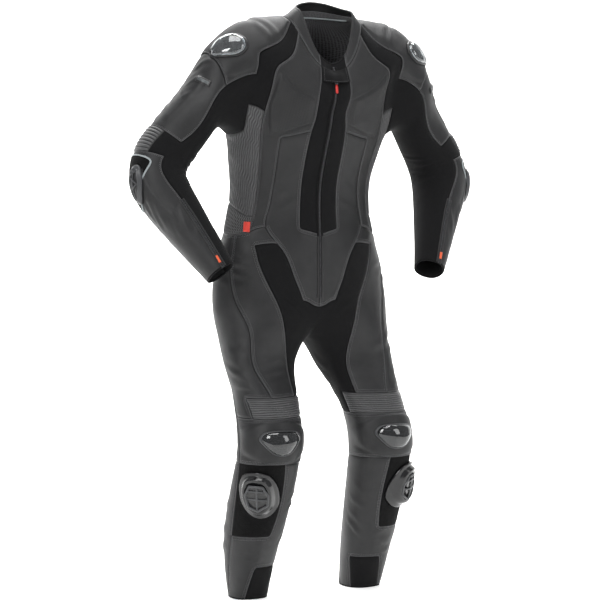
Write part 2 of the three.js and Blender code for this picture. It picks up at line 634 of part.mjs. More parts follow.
// The hard parts of the left side. across runs towards the wearer's left seen from the front.
const HARD_PARTS = [
  { name: "shoulder_slider", material: SHIELD, centre: [250, -48, -27], direction: [0.62, -0.64, 0.45],
    outline: [[-46, 6], [-36, 26], [-14, 36], [12, 34], [34, 20], [46, 0], [46, -20], [32, -30], [6, -30], [-22, -26], [-40, -12]],
    rings: [[1, 3], [0.9, 8], [0.6, 13]] },
  { name: "elbow_slider", material: PUCK, centre: [450, 0, -344], direction: [0.96, -0.14, -0.1],
    outline: [[0, 46], [13, 40], [20, 22], [21, -4], [16, -28], [7, -46], [-7, -46], [-16, -28], [-21, -4], [-20, 22], [-13, 40]],
    rings: [[1, 4], [0.86, 10], [0.5, 12]] },
  { name: "knee_cap", material: SHIELD, centre: [151, -112, -934], direction: [0.08, -1, 0.02],
    outline: [[-54, 10], [-44, 26], [-20, 30], [20, 30], [44, 26], [54, 10], [40, -8], [22, -25], [0, -30], [-22, -25], [-40, -8]],
    rings: [[1, 3], [0.88, 7], [0.55, 10]] },
  { name: "knee_slider", material: PUCK, centre: [195, -75, -1056], direction: [0.68, -0.72, -0.1],
    outline: [[-30, 52], [6, 58], [34, 50], [46, 24], [44, -10], [30, -38], [4, -58], [-22, -54], [-42, -30], [-46, 4], [-42, 32]],
    rings: [[1, 10], [0.88, 20], [0.55, 23]] },
];
for (const [word, sign] of Object.entries(SIDES)) {
  for (const part of HARD_PARTS) {
    const [x, y, z] = part.centre;
    const shift = stance([0, 0, z])[0];
    const direction = [sign * part.direction[0], part.direction[1], part.direction[2]];
    const outline = sign > 0 ? [...part.outline].reverse() : part.outline.map(([a, b]) => [-a, b]);
    add(`${part.name}_${word}`, puck([sign * x + shift, y, z], direction, outline, part.rings), part.material);
  }
}

// The front zip: a chain laid on the centre seam, made from the seam's own points moved out.
const centreLine = [];
for (const f of shell.faces) {
  f.uv.forEach(([u, v], i) => {
    const onSeam = u === 0 && f.piece !== "seat" && v >= 0.5 && v <= 13.5;
    if (onSeam && Math.abs(shell.points[f.verts[i]].y) < 200 && !centreLine.some((c) => c.v === v)) {
      centreLine.push({ v, at: shell.points[f.verts[i]], n: outward[f.verts[i]] });
    }
  });
}
centreLine.sort((a, b) => a.v - b.v);
const CHAIN = { half: 3.4, height: 1.7, off: 0.4 };
function strip(line, half, from, to) {
  const positions = [];
  const index = [];
  line.forEach((c, i) => {
    const along = line[Math.min(i + 1, line.length - 1)].at.clone().sub(line[Math.max(i - 1, 0)].at).normalize();
    const across = new THREE.Vector3().crossVectors(along, c.n).normalize();
    for (const [side, height] of [[-half, from], [half, from], [half, to], [-half, to]]) {
      positions.push(c.at.clone().addScaledVector(across, side).addScaledVector(c.n, height));
    }
    const b = 4 * i;
    if (i === 0) index.push(b, b + 1, b + 2, b, b + 2, b + 3);
    if (i === line.length - 1) index.push(b, b + 2, b + 1, b, b + 3, b + 2);
    if (i > 0) {
      for (let k = 0; k < 4; k++) {
        const [p, q] = [b - 4 + k, b - 4 + (k + 1) % 4];
        index.push(p, p + 4, q + 4, p, q + 4, q);
      }
    }
  });
  const geometry = new THREE.BufferGeometry();
  geometry.setAttribute("position", new THREE.Float32BufferAttribute(positions.flatMap((p) => p.toArray()), 3));
  geometry.setIndex(index);
  return geometry;
}
add("zip", strip(centreLine, CHAIN.half, CHAIN.off, CHAIN.off + CHAIN.height), ZIP);

// The flap over the top of the zip, made from the strip panels' points moved out over the zip's slider.
const FLAP_ROWS = [1, 2];
const flapFaces = shell.faces.filter((f) =>
  f.piece.startsWith("zip_panel") && f.uv.every(([, v]) => v >= FLAP_ROWS[0] && v <= FLAP_ROWS[1]));
const rise = (u, v) =>
  0.5 + (2.8 + 4.4 * THREE.MathUtils.smoothstep(v, 1, 1.6)) * (1 - THREE.MathUtils.smoothstep(u, 0.3, 1));
const FLAP_WALL = 1.6;
add("zip_flap", wall(shell, outward, flapFaces, { lift: (u, v) => rise(u, v) + FLAP_WALL, depth: (u, v) => -rise(u, v) }), STRETCH);

// A flat plate in a frame on the surface: outline is [across, down] from its middle, from one height to another.
function plate(frame, outline, from, to) {
  const across = new THREE.Vector3().crossVectors(frame.n, frame.down).normalize();
  const count = outline.length;
  const positions = [from, to].flatMap((h) =>
    outline.map(([x, y]) => frame.at.clone().addScaledVector(across, x).addScaledVector(frame.down, y).addScaledVector(frame.n, h)));
  const index = [];
  for (let i = 0; i < count; i++) {
    const j = (i + 1) % count;
    index.push(i, count + i, j, j, count + i, count + j);
    if (i > 0 && i < count - 1) index.push(0, i, i + 1, count, count + i + 1, count + i);
  }
  const geometry = new THREE.BufferGeometry();
  geometry.setAttribute("position", new THREE.Float32BufferAttribute(positions.flatMap((p) => p.toArray()), 3));
  geometry.setIndex(index);
  return geometry;
}
const zipEnd = centreLine.findIndex((c) => c.v === FLAP_ROWS[1]);
const zipFrame = {
  at: centreLine[zipEnd].at,
  n: centreLine[zipEnd].n,
  down: centreLine[zipEnd + 1].at.clone().sub(centreLine[zipEnd - 1].at).normalize(),
};
const SLIDER_FOOT = CHAIN.off + CHAIN.height + 0.3;
const sliderOutline = [[-3, -14], [3, -14], [4.6, -9], [3.6, 1.5], [-3.6, 1.5], [-4.6, -9]];
const pullOutline = [[-1.6, 2.3], [1.6, 2.3], [3, 6], [3, 23], [1.8, 25], [-1.8, 25], [-3, 23], [-3, 6]];
add("zip_slider", plate(zipFrame, sliderOutline, SLIDER_FOOT, SLIDER_FOOT + 3), METAL);
add("zip_pull", plate(zipFrame, pullOutline, SLIDER_FOOT + 0.6, SLIDER_FOOT + 2.4), RED);

// Small tabs sewn on, bent to the panel: where, outward, downward direction, half width, half length, thickness
// and the steps across and down.
const TABS = [
  { name: "arm_tab_left", at: [306, -39, -105], n: [0.71, -0.62, 0.34], down: [0.5, 0.1, -0.86],
    size: [21, 7], thick: 1.6, steps: [5, 2], material: SHIELD },
  { name: "arm_tab_right", at: [-306, -39, -105], n: [-0.71, -0.62, 0.34], down: [-0.5, 0.1, -0.86],
    size: [21, 7], thick: 1.6, steps: [5, 2], material: SHIELD },
  { name: "cuff_pull_left", at: [291, -116, -509], n: [-0.3, -0.85, 0.4], down: [-0.3, -0.2, -0.93],
    size: [3, 9], thick: 1.4, steps: [1, 2], material: RED },
  { name: "cuff_pull_right", at: [-291, -116, -509], n: [0.3, -0.85, 0.4], down: [0.3, -0.2, -0.93],
    size: [3, 9], thick: 1.4, steps: [1, 2], material: RED },
  { name: "side_label", at: [-168, -9, -438], n: [-0.61, -0.79, 0.09], down: [0, 0.1, -1],
    size: [8, 12], thick: 1.2, steps: [2, 3], material: RED },
];
const TAB_CLEAR = 0.9;
for (const tab of TABS) {
  const n = vec(tab.n).normalize();
  const down = vec(tab.down).addScaledVector(n, -vec(tab.down).dot(n)).normalize();
  const across = new THREE.Vector3().crossVectors(n, down);
  const middle = onSurface(vec(stance(tab.at)), n);
  const [w, l] = tab.size;
  const [nx, ny] = tab.steps;
  const positions = [];
  const grid = [];
  for (let i = 0; i <= nx; i++) {
    for (let j = 0; j <= ny; j++) {
      const p = middle.clone().addScaledVector(across, w * (2 * i / nx - 1)).addScaledVector(down, l * (2 * j / ny - 1));
      const at = onSurface(p, n);
      positions.push(at.clone().addScaledVector(n, TAB_CLEAR + tab.thick), at.clone().addScaledVector(n, TAB_CLEAR));
      const here = i * (ny + 1) + j;
      if (i < nx && j < ny) grid.push([here, here + 1, here + ny + 2, here + ny + 1]);
    }
  }
  add(tab.name, closedWall(positions, grid), tab.material);
}

export default group;
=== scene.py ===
import json
import math
import random

import bpy
import numpy as np
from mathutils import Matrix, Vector, kdtree, noise
from mathutils.bvhtree import BVHTree

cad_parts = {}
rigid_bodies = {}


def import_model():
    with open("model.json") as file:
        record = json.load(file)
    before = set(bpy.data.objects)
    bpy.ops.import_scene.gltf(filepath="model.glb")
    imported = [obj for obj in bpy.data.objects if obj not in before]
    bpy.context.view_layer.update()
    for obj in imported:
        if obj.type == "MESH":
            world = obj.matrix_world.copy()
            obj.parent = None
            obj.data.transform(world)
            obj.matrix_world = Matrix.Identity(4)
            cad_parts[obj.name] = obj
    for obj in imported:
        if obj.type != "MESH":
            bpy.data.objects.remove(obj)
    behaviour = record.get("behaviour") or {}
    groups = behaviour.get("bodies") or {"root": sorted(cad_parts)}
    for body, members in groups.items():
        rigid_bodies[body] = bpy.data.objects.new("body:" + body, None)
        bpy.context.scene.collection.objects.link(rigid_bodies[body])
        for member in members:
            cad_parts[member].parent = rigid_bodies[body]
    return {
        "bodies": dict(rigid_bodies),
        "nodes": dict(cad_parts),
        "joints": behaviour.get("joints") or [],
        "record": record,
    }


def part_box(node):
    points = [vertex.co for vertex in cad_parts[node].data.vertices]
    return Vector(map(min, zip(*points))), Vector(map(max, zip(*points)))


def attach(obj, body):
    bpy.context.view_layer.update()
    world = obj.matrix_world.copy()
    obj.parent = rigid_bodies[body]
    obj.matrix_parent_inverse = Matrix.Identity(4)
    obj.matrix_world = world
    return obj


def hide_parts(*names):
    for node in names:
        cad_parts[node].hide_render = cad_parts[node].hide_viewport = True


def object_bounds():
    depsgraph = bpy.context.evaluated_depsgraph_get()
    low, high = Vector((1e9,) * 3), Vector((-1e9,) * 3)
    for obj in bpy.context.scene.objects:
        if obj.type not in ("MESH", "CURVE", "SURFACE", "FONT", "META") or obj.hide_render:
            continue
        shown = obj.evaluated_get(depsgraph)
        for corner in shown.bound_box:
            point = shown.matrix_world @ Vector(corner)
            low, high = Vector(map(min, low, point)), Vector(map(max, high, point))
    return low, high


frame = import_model()
cad_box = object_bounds()


# Studio: a sheet of pale matt paper hangs behind the suit and runs forward under it as the floor.
# Two large softboxes and a pale room light it evenly. The camera stands where the photograph was taken
# from.
FLOOR_HEIGHT = float(cad_box[0][2])
PAPER = "f3f3f2"
CAMERA_TURN = math.radians(27)
CAMERA_TILT = math.radians(3)
CAMERA_DISTANCE = 4.5
LENS = 114
AIM = Vector((-0.0339, 0.0173, -0.613))


def linear(code):
    """An sRGB hex colour as the linear RGBA that a shader socket takes."""
    values = [int(code[i:i + 2], 16) / 255 for i in (0, 2, 4)]
    return [v / 12.92 if v <= 0.04045 else ((v + 0.055) / 1.055) ** 2.4 for v in values] + [1]


def node(tree, kind, inputs=None, **settings):
    """Adds one shader node. inputs holds a number, colour or another node's output by socket name."""
    made = tree.nodes.new("ShaderNode" + kind)
    for key, value in settings.items():
        setattr(made, key, value)
    for key, value in (inputs or {}).items():
        if isinstance(value, bpy.types.NodeSocket):
            tree.links.new(value, made.inputs[key])
        else:
            made.inputs[key].default_value = value
    return made


def new_material(name, **sockets):
    """A material with its Principled shader, whose sockets are set by name with _ for a space."""
    made = bpy.data.materials.new(name)
    made.use_nodes = True
    tree = made.node_tree
    shader = tree.nodes["Principled BSDF"]
    for key, value in sockets.items():
        shader.inputs[key.replace("_", " ")].default_value = value
    return made, tree, shader


def paper_sweep():
    """The paper: flat under the suit, curved up behind it in the camera's direction."""
    away = Vector((math.sin(CAMERA_TURN), math.cos(CAMERA_TURN), 0))
    side = Vector((math.cos(CAMERA_TURN), -math.sin(CAMERA_TURN), 0))
    profile = [(-7.0, 0.0), (2.2, 0.0)]
    profile += [(2.2 + 1.6 * math.sin(a), 1.6 - 1.6 * math.cos(a)) for a in np.radians(np.arange(8, 91, 8))]
    profile += [(3.8, 5.5)]
    verts = []
    for along, up in profile:
        for across in (-6, 6):
            place = away * along + side * across
            verts.append((place.x, place.y, FLOOR_HEIGHT + up))
    faces = [(2 * i, 2 * i + 1, 2 * i + 3, 2 * i + 2) for i in range(len(profile) - 1)]
    mesh = bpy.data.meshes.new("paper_sweep")
    mesh.from_pydata(verts, [], faces)
    for polygon in mesh.polygons:
        polygon.use_smooth = True
    sheet = bpy.data.objects.new("paper_sweep", mesh)
    bpy.context.collection.objects.link(sheet)
    return sheet


paper, tree, shader = new_material("studio_paper", Base_Color=linear(PAPER), Roughness=0.95)
fibres = node(tree, "TexNoise", {"Scale": 60.0, "Detail": 3.0})
tone = node(tree, "Mix", {"Factor": fibres.outputs["Fac"], "A": linear("f5f5f4"), "B": linear("efefee")},
            data_type="RGBA")
tree.links.new(tone.outputs["Result"], shader.inputs["Base Color"])
tree.links.new(tone.outputs["Result"], shader.inputs["Emission Color"])
shader.inputs["Emission Strength"].default_value = 0.42
sweep = paper_sweep()
sweep.data.materials.append(paper)

world = bpy.data.worlds.new("pale_room")
world.use_nodes = True
world.node_tree.nodes["Background"].inputs["Color"].default_value = linear("fbfcff")
world.node_tree.nodes["Background"].inputs["Strength"].default_value = 0.42
bpy.context.scene.world = world
bpy.context.scene.view_settings.view_transform = "Standard"


def softbox(name, place, aim, size, power):
    """A large rectangular area light turned towards a point."""
    light = bpy.data.lights.new(name, "AREA")
    light.shape = "RECTANGLE"
    light.size, light.size_y = size
    light.energy = power
    lamp = bpy.data.objects.new(name, light)
    lamp.location = place
    lamp.rotation_euler = (Vector(aim) - Vector(place)).to_track_quat("-Z", "Y").to_euler()
    bpy.context.collection.objects.link(lamp)


softbox("key_softbox", (-3.4, -2.6, 1.5), (0, 0, -0.55), (1.5, 2.2), 96)
softbox("fill_softbox", (1.9, -3.4, 0.9), (0, 0, -0.6), (1.2, 2.4), 34)
softbox("top_softbox", (-0.4, -0.6, 2.6), (0, 0, -0.4), (2.0, 1.6), 50)
softbox("paper_light", (0.6, 1.4, 2.4), (1.6, 3.2, -0.4), (3.2, 1.2), 300)

view_back = Vector((-math.sin(CAMERA_TURN), -math.cos(CAMERA_TURN), 0))
camera_data = bpy.data.cameras.new("photo_camera")
camera_data.lens = LENS
camera_data.sensor_width = 36
camera_data.sensor_height = 36
camera_data.sensor_fit = "HORIZONTAL"
camera_data.clip_end = 40
camera = bpy.data.objects.new("photo_camera", camera_data)
camera.location = AIM + CAMERA_DISTANCE * (view_back * math.cos(CAMERA_TILT) + Vector((0, 0,
                                                                                       math.sin(CAMERA_TILT))))
camera.rotation_euler = (AIM - camera.location).to_track_quat("-Z", "Y").to_euler()
bpy.context.collection.objects.link(camera)
bpy.context.scene.camera = camera


# The suit's form: the same named sizes as the CAD's source, in millimetres, for the left half of the
# garment.
# Torso rings run from collar to crotch, and an arm and a leg join on each side, as one net of four-sided
# patches.
SHOULDER = np.array([204.0, 0, -40])
ELBOW = np.array([392.0, 40, -314])
WRIST = np.array([280.0, -84, -528])
ROUNDNESS = 2.25
TORSO_Z = [-120, -185, -250, -330, -390, -440, -500, -560, -620, -690]
TORSO_MIDDLE = [-2, 12, 26, 46, 54, 56, 56, 54, 50, 46]
TORSO_SIDE = [202, 206, 196, 176, 172, 188, 208, 224, 232, 234]
TORSO_FRONT = [114, 122, 117, 108, 108, 112, 112, 106, 98, 84]
TORSO_BACK = [120, 124, 124, 120, 118, 124, 134, 140, 140, 130]
# Rings over the shoulders: heights at the side, front and back, then middle, side, front, back and column
# angles.
YOKE_RINGS = [
    ((68, -70, 92), (-44, 72, 40, 66), (0, 26, 40, 62, 78, 94, 118, 148, 180)),
    ((46, -84, 54), (-36, 92, 58, 84), (0, 18, 38, 66, 84, 98, 118, 146, 180)),
    ((50, -112, 22), (-28, 158, 84, 100), (0, 10.5, 26, 38, 46, 84, 110, 144, 180)),
    ((38, -148, -44), (-18, 230, 106, 116), (0, 6.5, 27, 42.5, 49, 85, 114, 144, 180)),
]
# Rings below them: the height and the angle of each column from centre front to centre back. None is the
# armhole.
TORSO_RINGS = [
    ((-174, -170, -166, -118, -66, None, -96, -112, -120), (0, 6, 29, 46, 55.5, 90, 116, 146, 180)),
    ((-196, -190, -204, -174, -160, None, -160, -160, -164), (0, 6, 33, 49, 63, 90, 116, 147, 180)),
    ((-216, -206, -240, -220, -222, -224, -220, -206, -210), (0, 8, 36, 50, 65, 90, 117, 148, 180)),
    ((-266, -266, -288, -256, -256, -262, -262, -256, -260), (0, 10, 37, 49, 68, 91, 118, 150, 180)),
    ((-330, -330, -338, -330, -330, -330, -330, -330, -330), (0, 10.5, 40, 50, 70, 92, 119, 150, 180)),
    ((-392, -392, -396, -438, -412, -384, -368, -372, -376), (0, 10.5, 45, 53, 71, 92, 119, 150, 180)),
    ((-468, -442, -434, -448, -462, -464, -460, -452, -448), (0, 9, 52, 59, 74, 92, 119, 150, 180)),
    ((-500, -490, -474, -482, -486, -490, -490, -488, -486), (0, 10, 29, 46, 74, 92, 120, 150, 180)),
    ((-532, -526, -506, -514, -524, -532, -532, -532, -532), (0, 8, 17.5, 44, 74, 92, 120, 150, 180)),
    ((-580, -574, -558, -566, -576, -586, -588, -590, -590), (0, 6, 12.5, 32, 70, 92, 120, 150, 180)),
    ((-634, -626, -606, -608, -624, -640, -644, -646, -644), (0, 3.5, 6, 23, 62, 90, 120, 150, 180)),
]
CROTCH_RING = {
    0: (0, -30, -664), 2: (26, -40, -664), 3: (88, -56, -660), 4: (178, -46, -676), 5: (224, 26, -692),
    6: (200, 120, -694), 7: (112, 164, -694), 8: (0, 124, -662),
}
CROTCH_LINE = [(0, 76, -684), (0, 18, -684)]
# Leg sections: height, middle x and y, side, front and back reach, turn, and the angles of ten columns.
LEG = [
    (-752, 128, 36, 88, 118, 114, 24, (-104, -96, -86, 18, 74, 114, 148, 180, -150, -122)),
    (-796, 134, 14, 82, 100, 104, 20, (-106, -96, -84, 4, 60, 108, 144, 180, -150, -124)),
    (-830, 139, -6, 80, 84, 90, 10, (-106, -94, -76, 2, 56, 106, 144, 182, -148, -124)),
    (-880, 145, -30, 79, 78, 78, 2, (-104, -88, -58, 0, 52, 106, 144, 184, -144, -122)),
    (-928, 149, -42, 80, 80, 76, 0, (-102, -84, -50, -2, 46, 100, 144, 186, -142, -120)),
    (-976, 153, -40, 80, 78, 76, -6, (-100, -82, -46, -4, 42, 96, 143, 186, -142, -118)),
    (-1070, 157, -14, 78, 74, 86, -14, (-96, -76, -42, -8, 38, 97, 145, 186, -142, -116)),
    (-1162, 159, 20, 70, 70, 82, -17, (-92, -68, -34, 2, 40, 93, 142, 186, -142, -114)),
    (-1236, 157, 42, 60, 61, 68, -10, (-92, -62, -24, 24, 55, 92, 140, 184, -144, -116)),
    (-1316, 152, 58, 48, 54, 52, 0, (-92, -60, -20, 40, 66, 95, 140, 184, -144, -116)),
]
# Arm sections: place along the sleeve, skew of the inner side, outer and front reach, shift and ten column
# angles.
ARM = [
    (0.13, 0.33, 72, 80, 2, (42, 2, -36, -72, -110, -148, 176, 146, 114, 80)),
    (0.34, 0.2, 60, 76, -6, (36, 2, -34, -70, -108, -146, 178, 146, 118, 92)),
    (0.54, 0.1, 61, 71, -8, (36, 2, -33, -68, -106, -144, 180, 150, 124, 98)),
    (0.72, 0, 66, 69, -4, (36, 2, -32, -68, -106, -144, 180, 148, 120, 88)),
    (0.9, 0, 70, 70, 0, (34, 2, -34, -70, -106, -144, 180, 146, 114, 72)),
    (1.1, 0, 70, 70, 0, (36, 0, -36, -72, -108, -144, 180, 146, 116, 78)),
    (1.34, 0, 62, 63, 0, (40, 0, -38, -74, -108, -144, 180, 148, 120, 88)),
    (1.6, 0, 52, 55, 0, (44, 4, -36, -72, -108, -144, 180, 150, 122, 90)),
    (2.01, 0, 38, 41, 0, (44, 4, -36, -72, -108, -144, 180, 150, 121, 82)),
    (2.06, 0, 38, 40, 0, (44, 4, -36, -72, -108, -144, 180, 150, 121, 82)),
]
STANCE = [(-60, 0), (-180, -16), (-340, -22), (-480, -18), (-640, -14), (-760, -10), (-850, 2), (-960, 6),
          (-1320, -2)]
ELBOW_BEND = 0.22
ARMHOLE = [(3, 4), (3, 5), (3, 6), (4, 6), (5, 6), (6, 6), (6, 5), (6, 4), (5, 4), (4, 4)]
TORSO_CHART, LEG_CHART, ARM_CHART = 0, 1, 2


def section(angle, side, front, back):
    """A point of a limb's rounded section, a superellipse: how far to the side and how far to the back."""
    s = math.sin(math.radians(angle))
    c = math.cos(math.radians(angle))
    depth = front if c > 0 else back
    power = 2 / ROUNDNESS
    return side * math.copysign(abs(s) ** power, s), -depth * math.copysign(abs(c) ** power, c)


def smoothstep(x, low, high):
    t = np.clip((x - low) / (high - low), 0, 1)
    return t * t * (3 - 2 * t)


def stance(p):
    """The body stands a little to one side at the hips and the knees."""
    i = next((k for k, row in enumerate(STANCE) if p[2] >= row[0]), len(STANCE) - 1)
    above, below = STANCE[max(1, i) - 1], STANCE[max(1, i)]
    t = smoothstep(-p[2], -above[0], -below[0])
    return (p[0] + above[1] + (below[1] - above[1]) * t, p[1], p[2])


def arm_axis(t):
    """The middle of the sleeve and its direction: two straight runs with a soft bend at the elbow."""
    if abs(t - 1) < ELBOW_BEND:
        start = SHOULDER + (ELBOW - SHOULDER) * (1 - ELBOW_BEND)
        end = ELBOW + (WRIST - ELBOW) * ELBOW_BEND
        u = (t - 1 + ELBOW_BEND) / (2 * ELBOW_BEND)
        at = (1 - u) ** 2 * start + 2 * u * (1 - u) * ELBOW + u * u * end
        along = (1 - u) * (ELBOW - start) + u * (end - ELBOW)
    else:
        first, last, u = (SHOULDER, ELBOW, t) if t < 1 else (ELBOW, WRIST, t - 1)
        at = first + (last - first) * u
        along = last - first
    along = along / np.linalg.norm(along)
    out = np.array([1.0, 0, 0]) - along * along[0]
    out /= np.linalg.norm(out)
    return at, out, np.cross(along, out)


cage_points = []
cage_keys = {}
cage_faces = []


def torso_vertex(r, k):
    if r < 4:
        (z_side, z_front, z_back), (middle, side, front, back), angles = YOKE_RINGS[r]
        x, y = section(angles[k], side, front, back)
        c = math.cos(math.radians(angles[k]))
        end = z_front if c > 0 else z_back
        return cage_vertex(("torso", r, k), (x, middle + y, z_side + (end - z_side) * c * c))
    if r < 15:
        heights, angles = TORSO_RINGS[r - 4]
        low = [np.interp(-heights[k], [-z for z in TORSO_Z], row)
               for row in (TORSO_MIDDLE, TORSO_SIDE, TORSO_FRONT, TORSO_BACK)]
        x, y = section(angles[k], *low[1:])
        return cage_vertex(("torso", r, k), (x, low[0] + y, heights[k]))
    column = 0 if k == 1 else k
    return cage_vertex(("crotch", column), CROTCH_RING[column])


def leg_vertex(r, k):
    if r == 0:
        column = 0 if k == 0 else k + 1
        return torso_vertex(15, column) if k < 8 else cage_vertex(("crotch line", k), CROTCH_LINE[k - 8])
    z, middle_x, middle_y, side, front, back, turn, angles = LEG[r - 1]
    across, along = section(angles[k], side, front, back)
    c, s = math.cos(math.radians(turn)), math.sin(math.radians(turn))
    return cage_vertex(("leg", r, k), (middle_x + across * c - along * s, middle_y + across * s + along * c,
                                       z))


def arm_vertex(r, k):
    if r == 0:
        return torso_vertex(*ARMHOLE[k])
    t, skew, reach_out, reach_front, shift, angles = ARM[r - 1]
    at, out, front = arm_axis(t + skew * (1 - math.cos(math.radians(angles[k]))) / 2)
    to_front, to_out = section(angles[k], reach_front, reach_out, reach_out)
    return cage_vertex(("arm", r, k), tuple(at + out * (shift - to_out) + front * to_front))


def cage_vertex(key, place):
    if key not in cage_keys:
        cage_keys[key] = len(cage_points)
        cage_points.append(place)
    return cage_keys[key]


def cage_face(piece, chart, corners, places):
    kept = [i for i in range(4) if corners[i] != corners[(i + 1) % 4]][::-1]
    cage_faces.append((piece, chart, [corners[i] for i in kept], [places[i] for i in kept]))


def torso_piece(r, k):
    """Which piece a patch of the torso is cut from, by the row and column of its upper front corner."""
    if 3 <= r < 6 and k in (4, 5):
        return None
    if k == 0 and r < 10:
        return "zip_panel"
    if r == 0:
        return "collar"
    if r < 6:
        if k < 3:
            return "chest"
        if k == 3:
            return "stretch" if r < 5 else "side_ribs"
        return "shoulder" if k < 6 else "back_upper"
    if r < 10:
        if k in (1, 2):
            return ("abdomen", "chest")[k - 1]
        if k >= 6:
            return "back_upper" if r < 8 else "back_lower"
        return "side_ribs" if r < 9 else "hip_mesh"
    if k >= 6:
        return "seat"
    if k < 2:
        return "abdomen" if r < 14 else "gusset"
    if k == 2:
        return "thigh_front" if r < 11 else "gusset"
    return "thigh_front" if k == 3 else "thigh_outer"


def leg_piece(r, k):
    behind = k in (5, 6, 7)
    if r < 4:
        if k in (8, 9, 0):
            return "gusset"
        if k == 1:
            return "gusset" if r < 3 else "knee_ribs"
        if behind:
            return "leg_back"
        if r < 3:
            return "thigh_front" if k == 2 else "thigh_outer"
        return "knee_ribs" if k < 4 else "thigh_outer"
    if r < 6:
        return "leg_back" if behind or k == 8 else "knee_cup"
    if r < 8 and k in (3, 4):
        return "slider_base"
    if r == 9 and k in (1, 2):
        return "ankle_stretch"
    return "calf" if behind or k == 8 else "shin"


def arm_piece(r, k):
    outside = k in (0, 1, 2)
    if r == 0:
        return "shoulder" if outside or k == 9 else "stretch"
    if k == 9:
        return "stretch" if r == 4 else "upper_arm" if r < 4 else "forearm"
    if not outside and k not in (3, 4):
        return "stretch"
    if r < 4:
        return "upper_arm"
    if r < 5:
        return "elbow_ribs" if outside else "upper_arm"
    return "forearm"


for chart, rows, columns, vertex_of, piece_of in (
    (TORSO_CHART, 15, 8, torso_vertex, torso_piece),
    (LEG_CHART, 10, 10, leg_vertex, leg_piece),
    (ARM_CHART, 10, 10, arm_vertex, arm_piece),
):
    for r in range(rows):
        for k in range(columns):
            piece = piece_of(r, k)
            if piece:
                places = [(k, r), (k + 1, r), (k + 1, r + 1), (k, r + 1)]
                wrap = 9 if chart == TORSO_CHART else columns
                cage_face(piece, chart, [vertex_of(row, col % wrap) for col, row in places], places)


# The whole net: the left half and its mirror image, shifted to the stance, then rounded four times by the
# Catmull-Clark rule, which is what gives the suit one smooth skin that all its cut pieces share.
SINGLE = {"collar", "back_upper", "back_lower", "seat", "gusset"}
ROUNDS = 4
twin = []
whole_points = list(cage_points)
for i, (x, y, z) in enumerate(cage_points):
    if abs(x) < 1e-6:
        twin.append(i)
    else:
        twin.append(len(whole_points))
        whole_points.append((-x, y, z))
whole_faces = [(p if p in SINGLE else p + "_left", c, 1, verts, uv) for p, c, verts, uv in cage_faces]
whole_faces += [(p if p in SINGLE else p + "_right", c, -1, [twin[v] for v in verts][::-1], uv[::-1])
                for p, c, verts, uv in cage_faces]
PIECES = sorted({f[0] for f in whole_faces})
net = {
    "points": np.array([stance(p) for p in whole_points], float) / 1000,
    "vert": np.array([v for f in whole_faces for v in f[3]]),
    "uv": np.array([p for f in whole_faces for p in f[4]], float),
    "face": np.array([i for i, f in enumerate(whole_faces) for _ in f[3]]),
    "piece": np.array([PIECES.index(f[0]) for f in whole_faces]),
    "chart": np.array([f[1] for f in whole_faces]),
    "side": np.array([f[2] for f in whole_faces]),
}


def rounded(net):
    """One round of the Catmull-Clark rule on faces kept as lists of corners."""
    points, vert, face, uv = net["points"], net["vert"], net["face"], net["uv"]
    corner = np.arange(len(vert))
    first = np.r_[True, face[1:] != face[:-1]]
    last = np.r_[face[1:] != face[:-1], True]
    start = np.maximum.accumulate(np.where(first, corner, 0))
    ends = np.flatnonzero(last)
    after = np.where(last, start, np.minimum(corner + 1, len(vert) - 1))
    before = np.where(first, ends[face], corner - 1)
    count = np.bincount(face).astype(float)

    def gathered(index, values, size):
        return np.stack([np.bincount(index, values[:, a], size) for a in range(values.shape[1])], axis=1)

    centres = gathered(face, points[vert], len(count)) / count[:, None]
    uv_centres = gathered(face, uv, len(count)) / count[:, None]
    pairs = np.sort(np.stack([vert, vert[after]], axis=1), axis=1)
    keys, edge = np.unique(pairs[:, 0] * len(points) + pairs[:, 1], return_inverse=True)
    a, b = keys // len(points), keys % len(points)
    uses = np.bincount(edge)
    middle = (points[a] + points[b]) / 2
    inner = gathered(edge, centres[face], len(keys)) / uses[:, None]
    edge_points = np.where((uses == 2)[:, None], (inner + middle) / 2, middle)

    faces_round = np.bincount(vert, minlength=len(points)).astype(float)
    face_mean = gathered(vert, centres[face], len(points)) / faces_round[:, None]
    both = np.r_[a, b]
    edges_round = np.bincount(both, minlength=len(points))
    edge_mean = gathered(both, np.r_[middle, middle], len(points)) / edges_round[:, None]
    moved = (face_mean + 2 * edge_mean + (faces_round[:, None] - 3) * points) / faces_round[:, None]
    rim = uses == 1
    rim_ends = np.r_[a[rim], b[rim]]
    rim_count = np.bincount(rim_ends, minlength=len(points))
    rim_sum = gathered(rim_ends, np.r_[middle[rim], middle[rim]], len(points))
    on_rim = rim_count > 0
    moved[on_rim] = (rim_sum[on_rim] / rim_count[on_rim, None] + points[on_rim]) / 2

    centre_at = len(points) + face
    edge_at = len(points) + len(count) + edge
    quads = np.stack([vert, edge_at, centre_at, edge_at[before]], axis=1)
    places = np.stack([uv, (uv + uv[after]) / 2, uv_centres[face], (uv + uv[before]) / 2], axis=1)
    return {
        "points": np.concatenate([moved, centres, edge_points]),
        "vert": quads.ravel(),
        "uv": places.reshape(-1, 2),
        "face": np.repeat(np.arange(len(vert)), 4),
        "piece": net["piece"][face],
        "chart": net["chart"][face],
        "side": net["side"][face],
    }


for _ in range(ROUNDS):
    net = rounded(net)
SKIN = net["points"]
QUADS = net["vert"].reshape(-1, 4)
PLACES = net["uv"].reshape(-1, 4, 2)
OWNER, CHART, SIDE = net["piece"], net["chart"], net["side"]

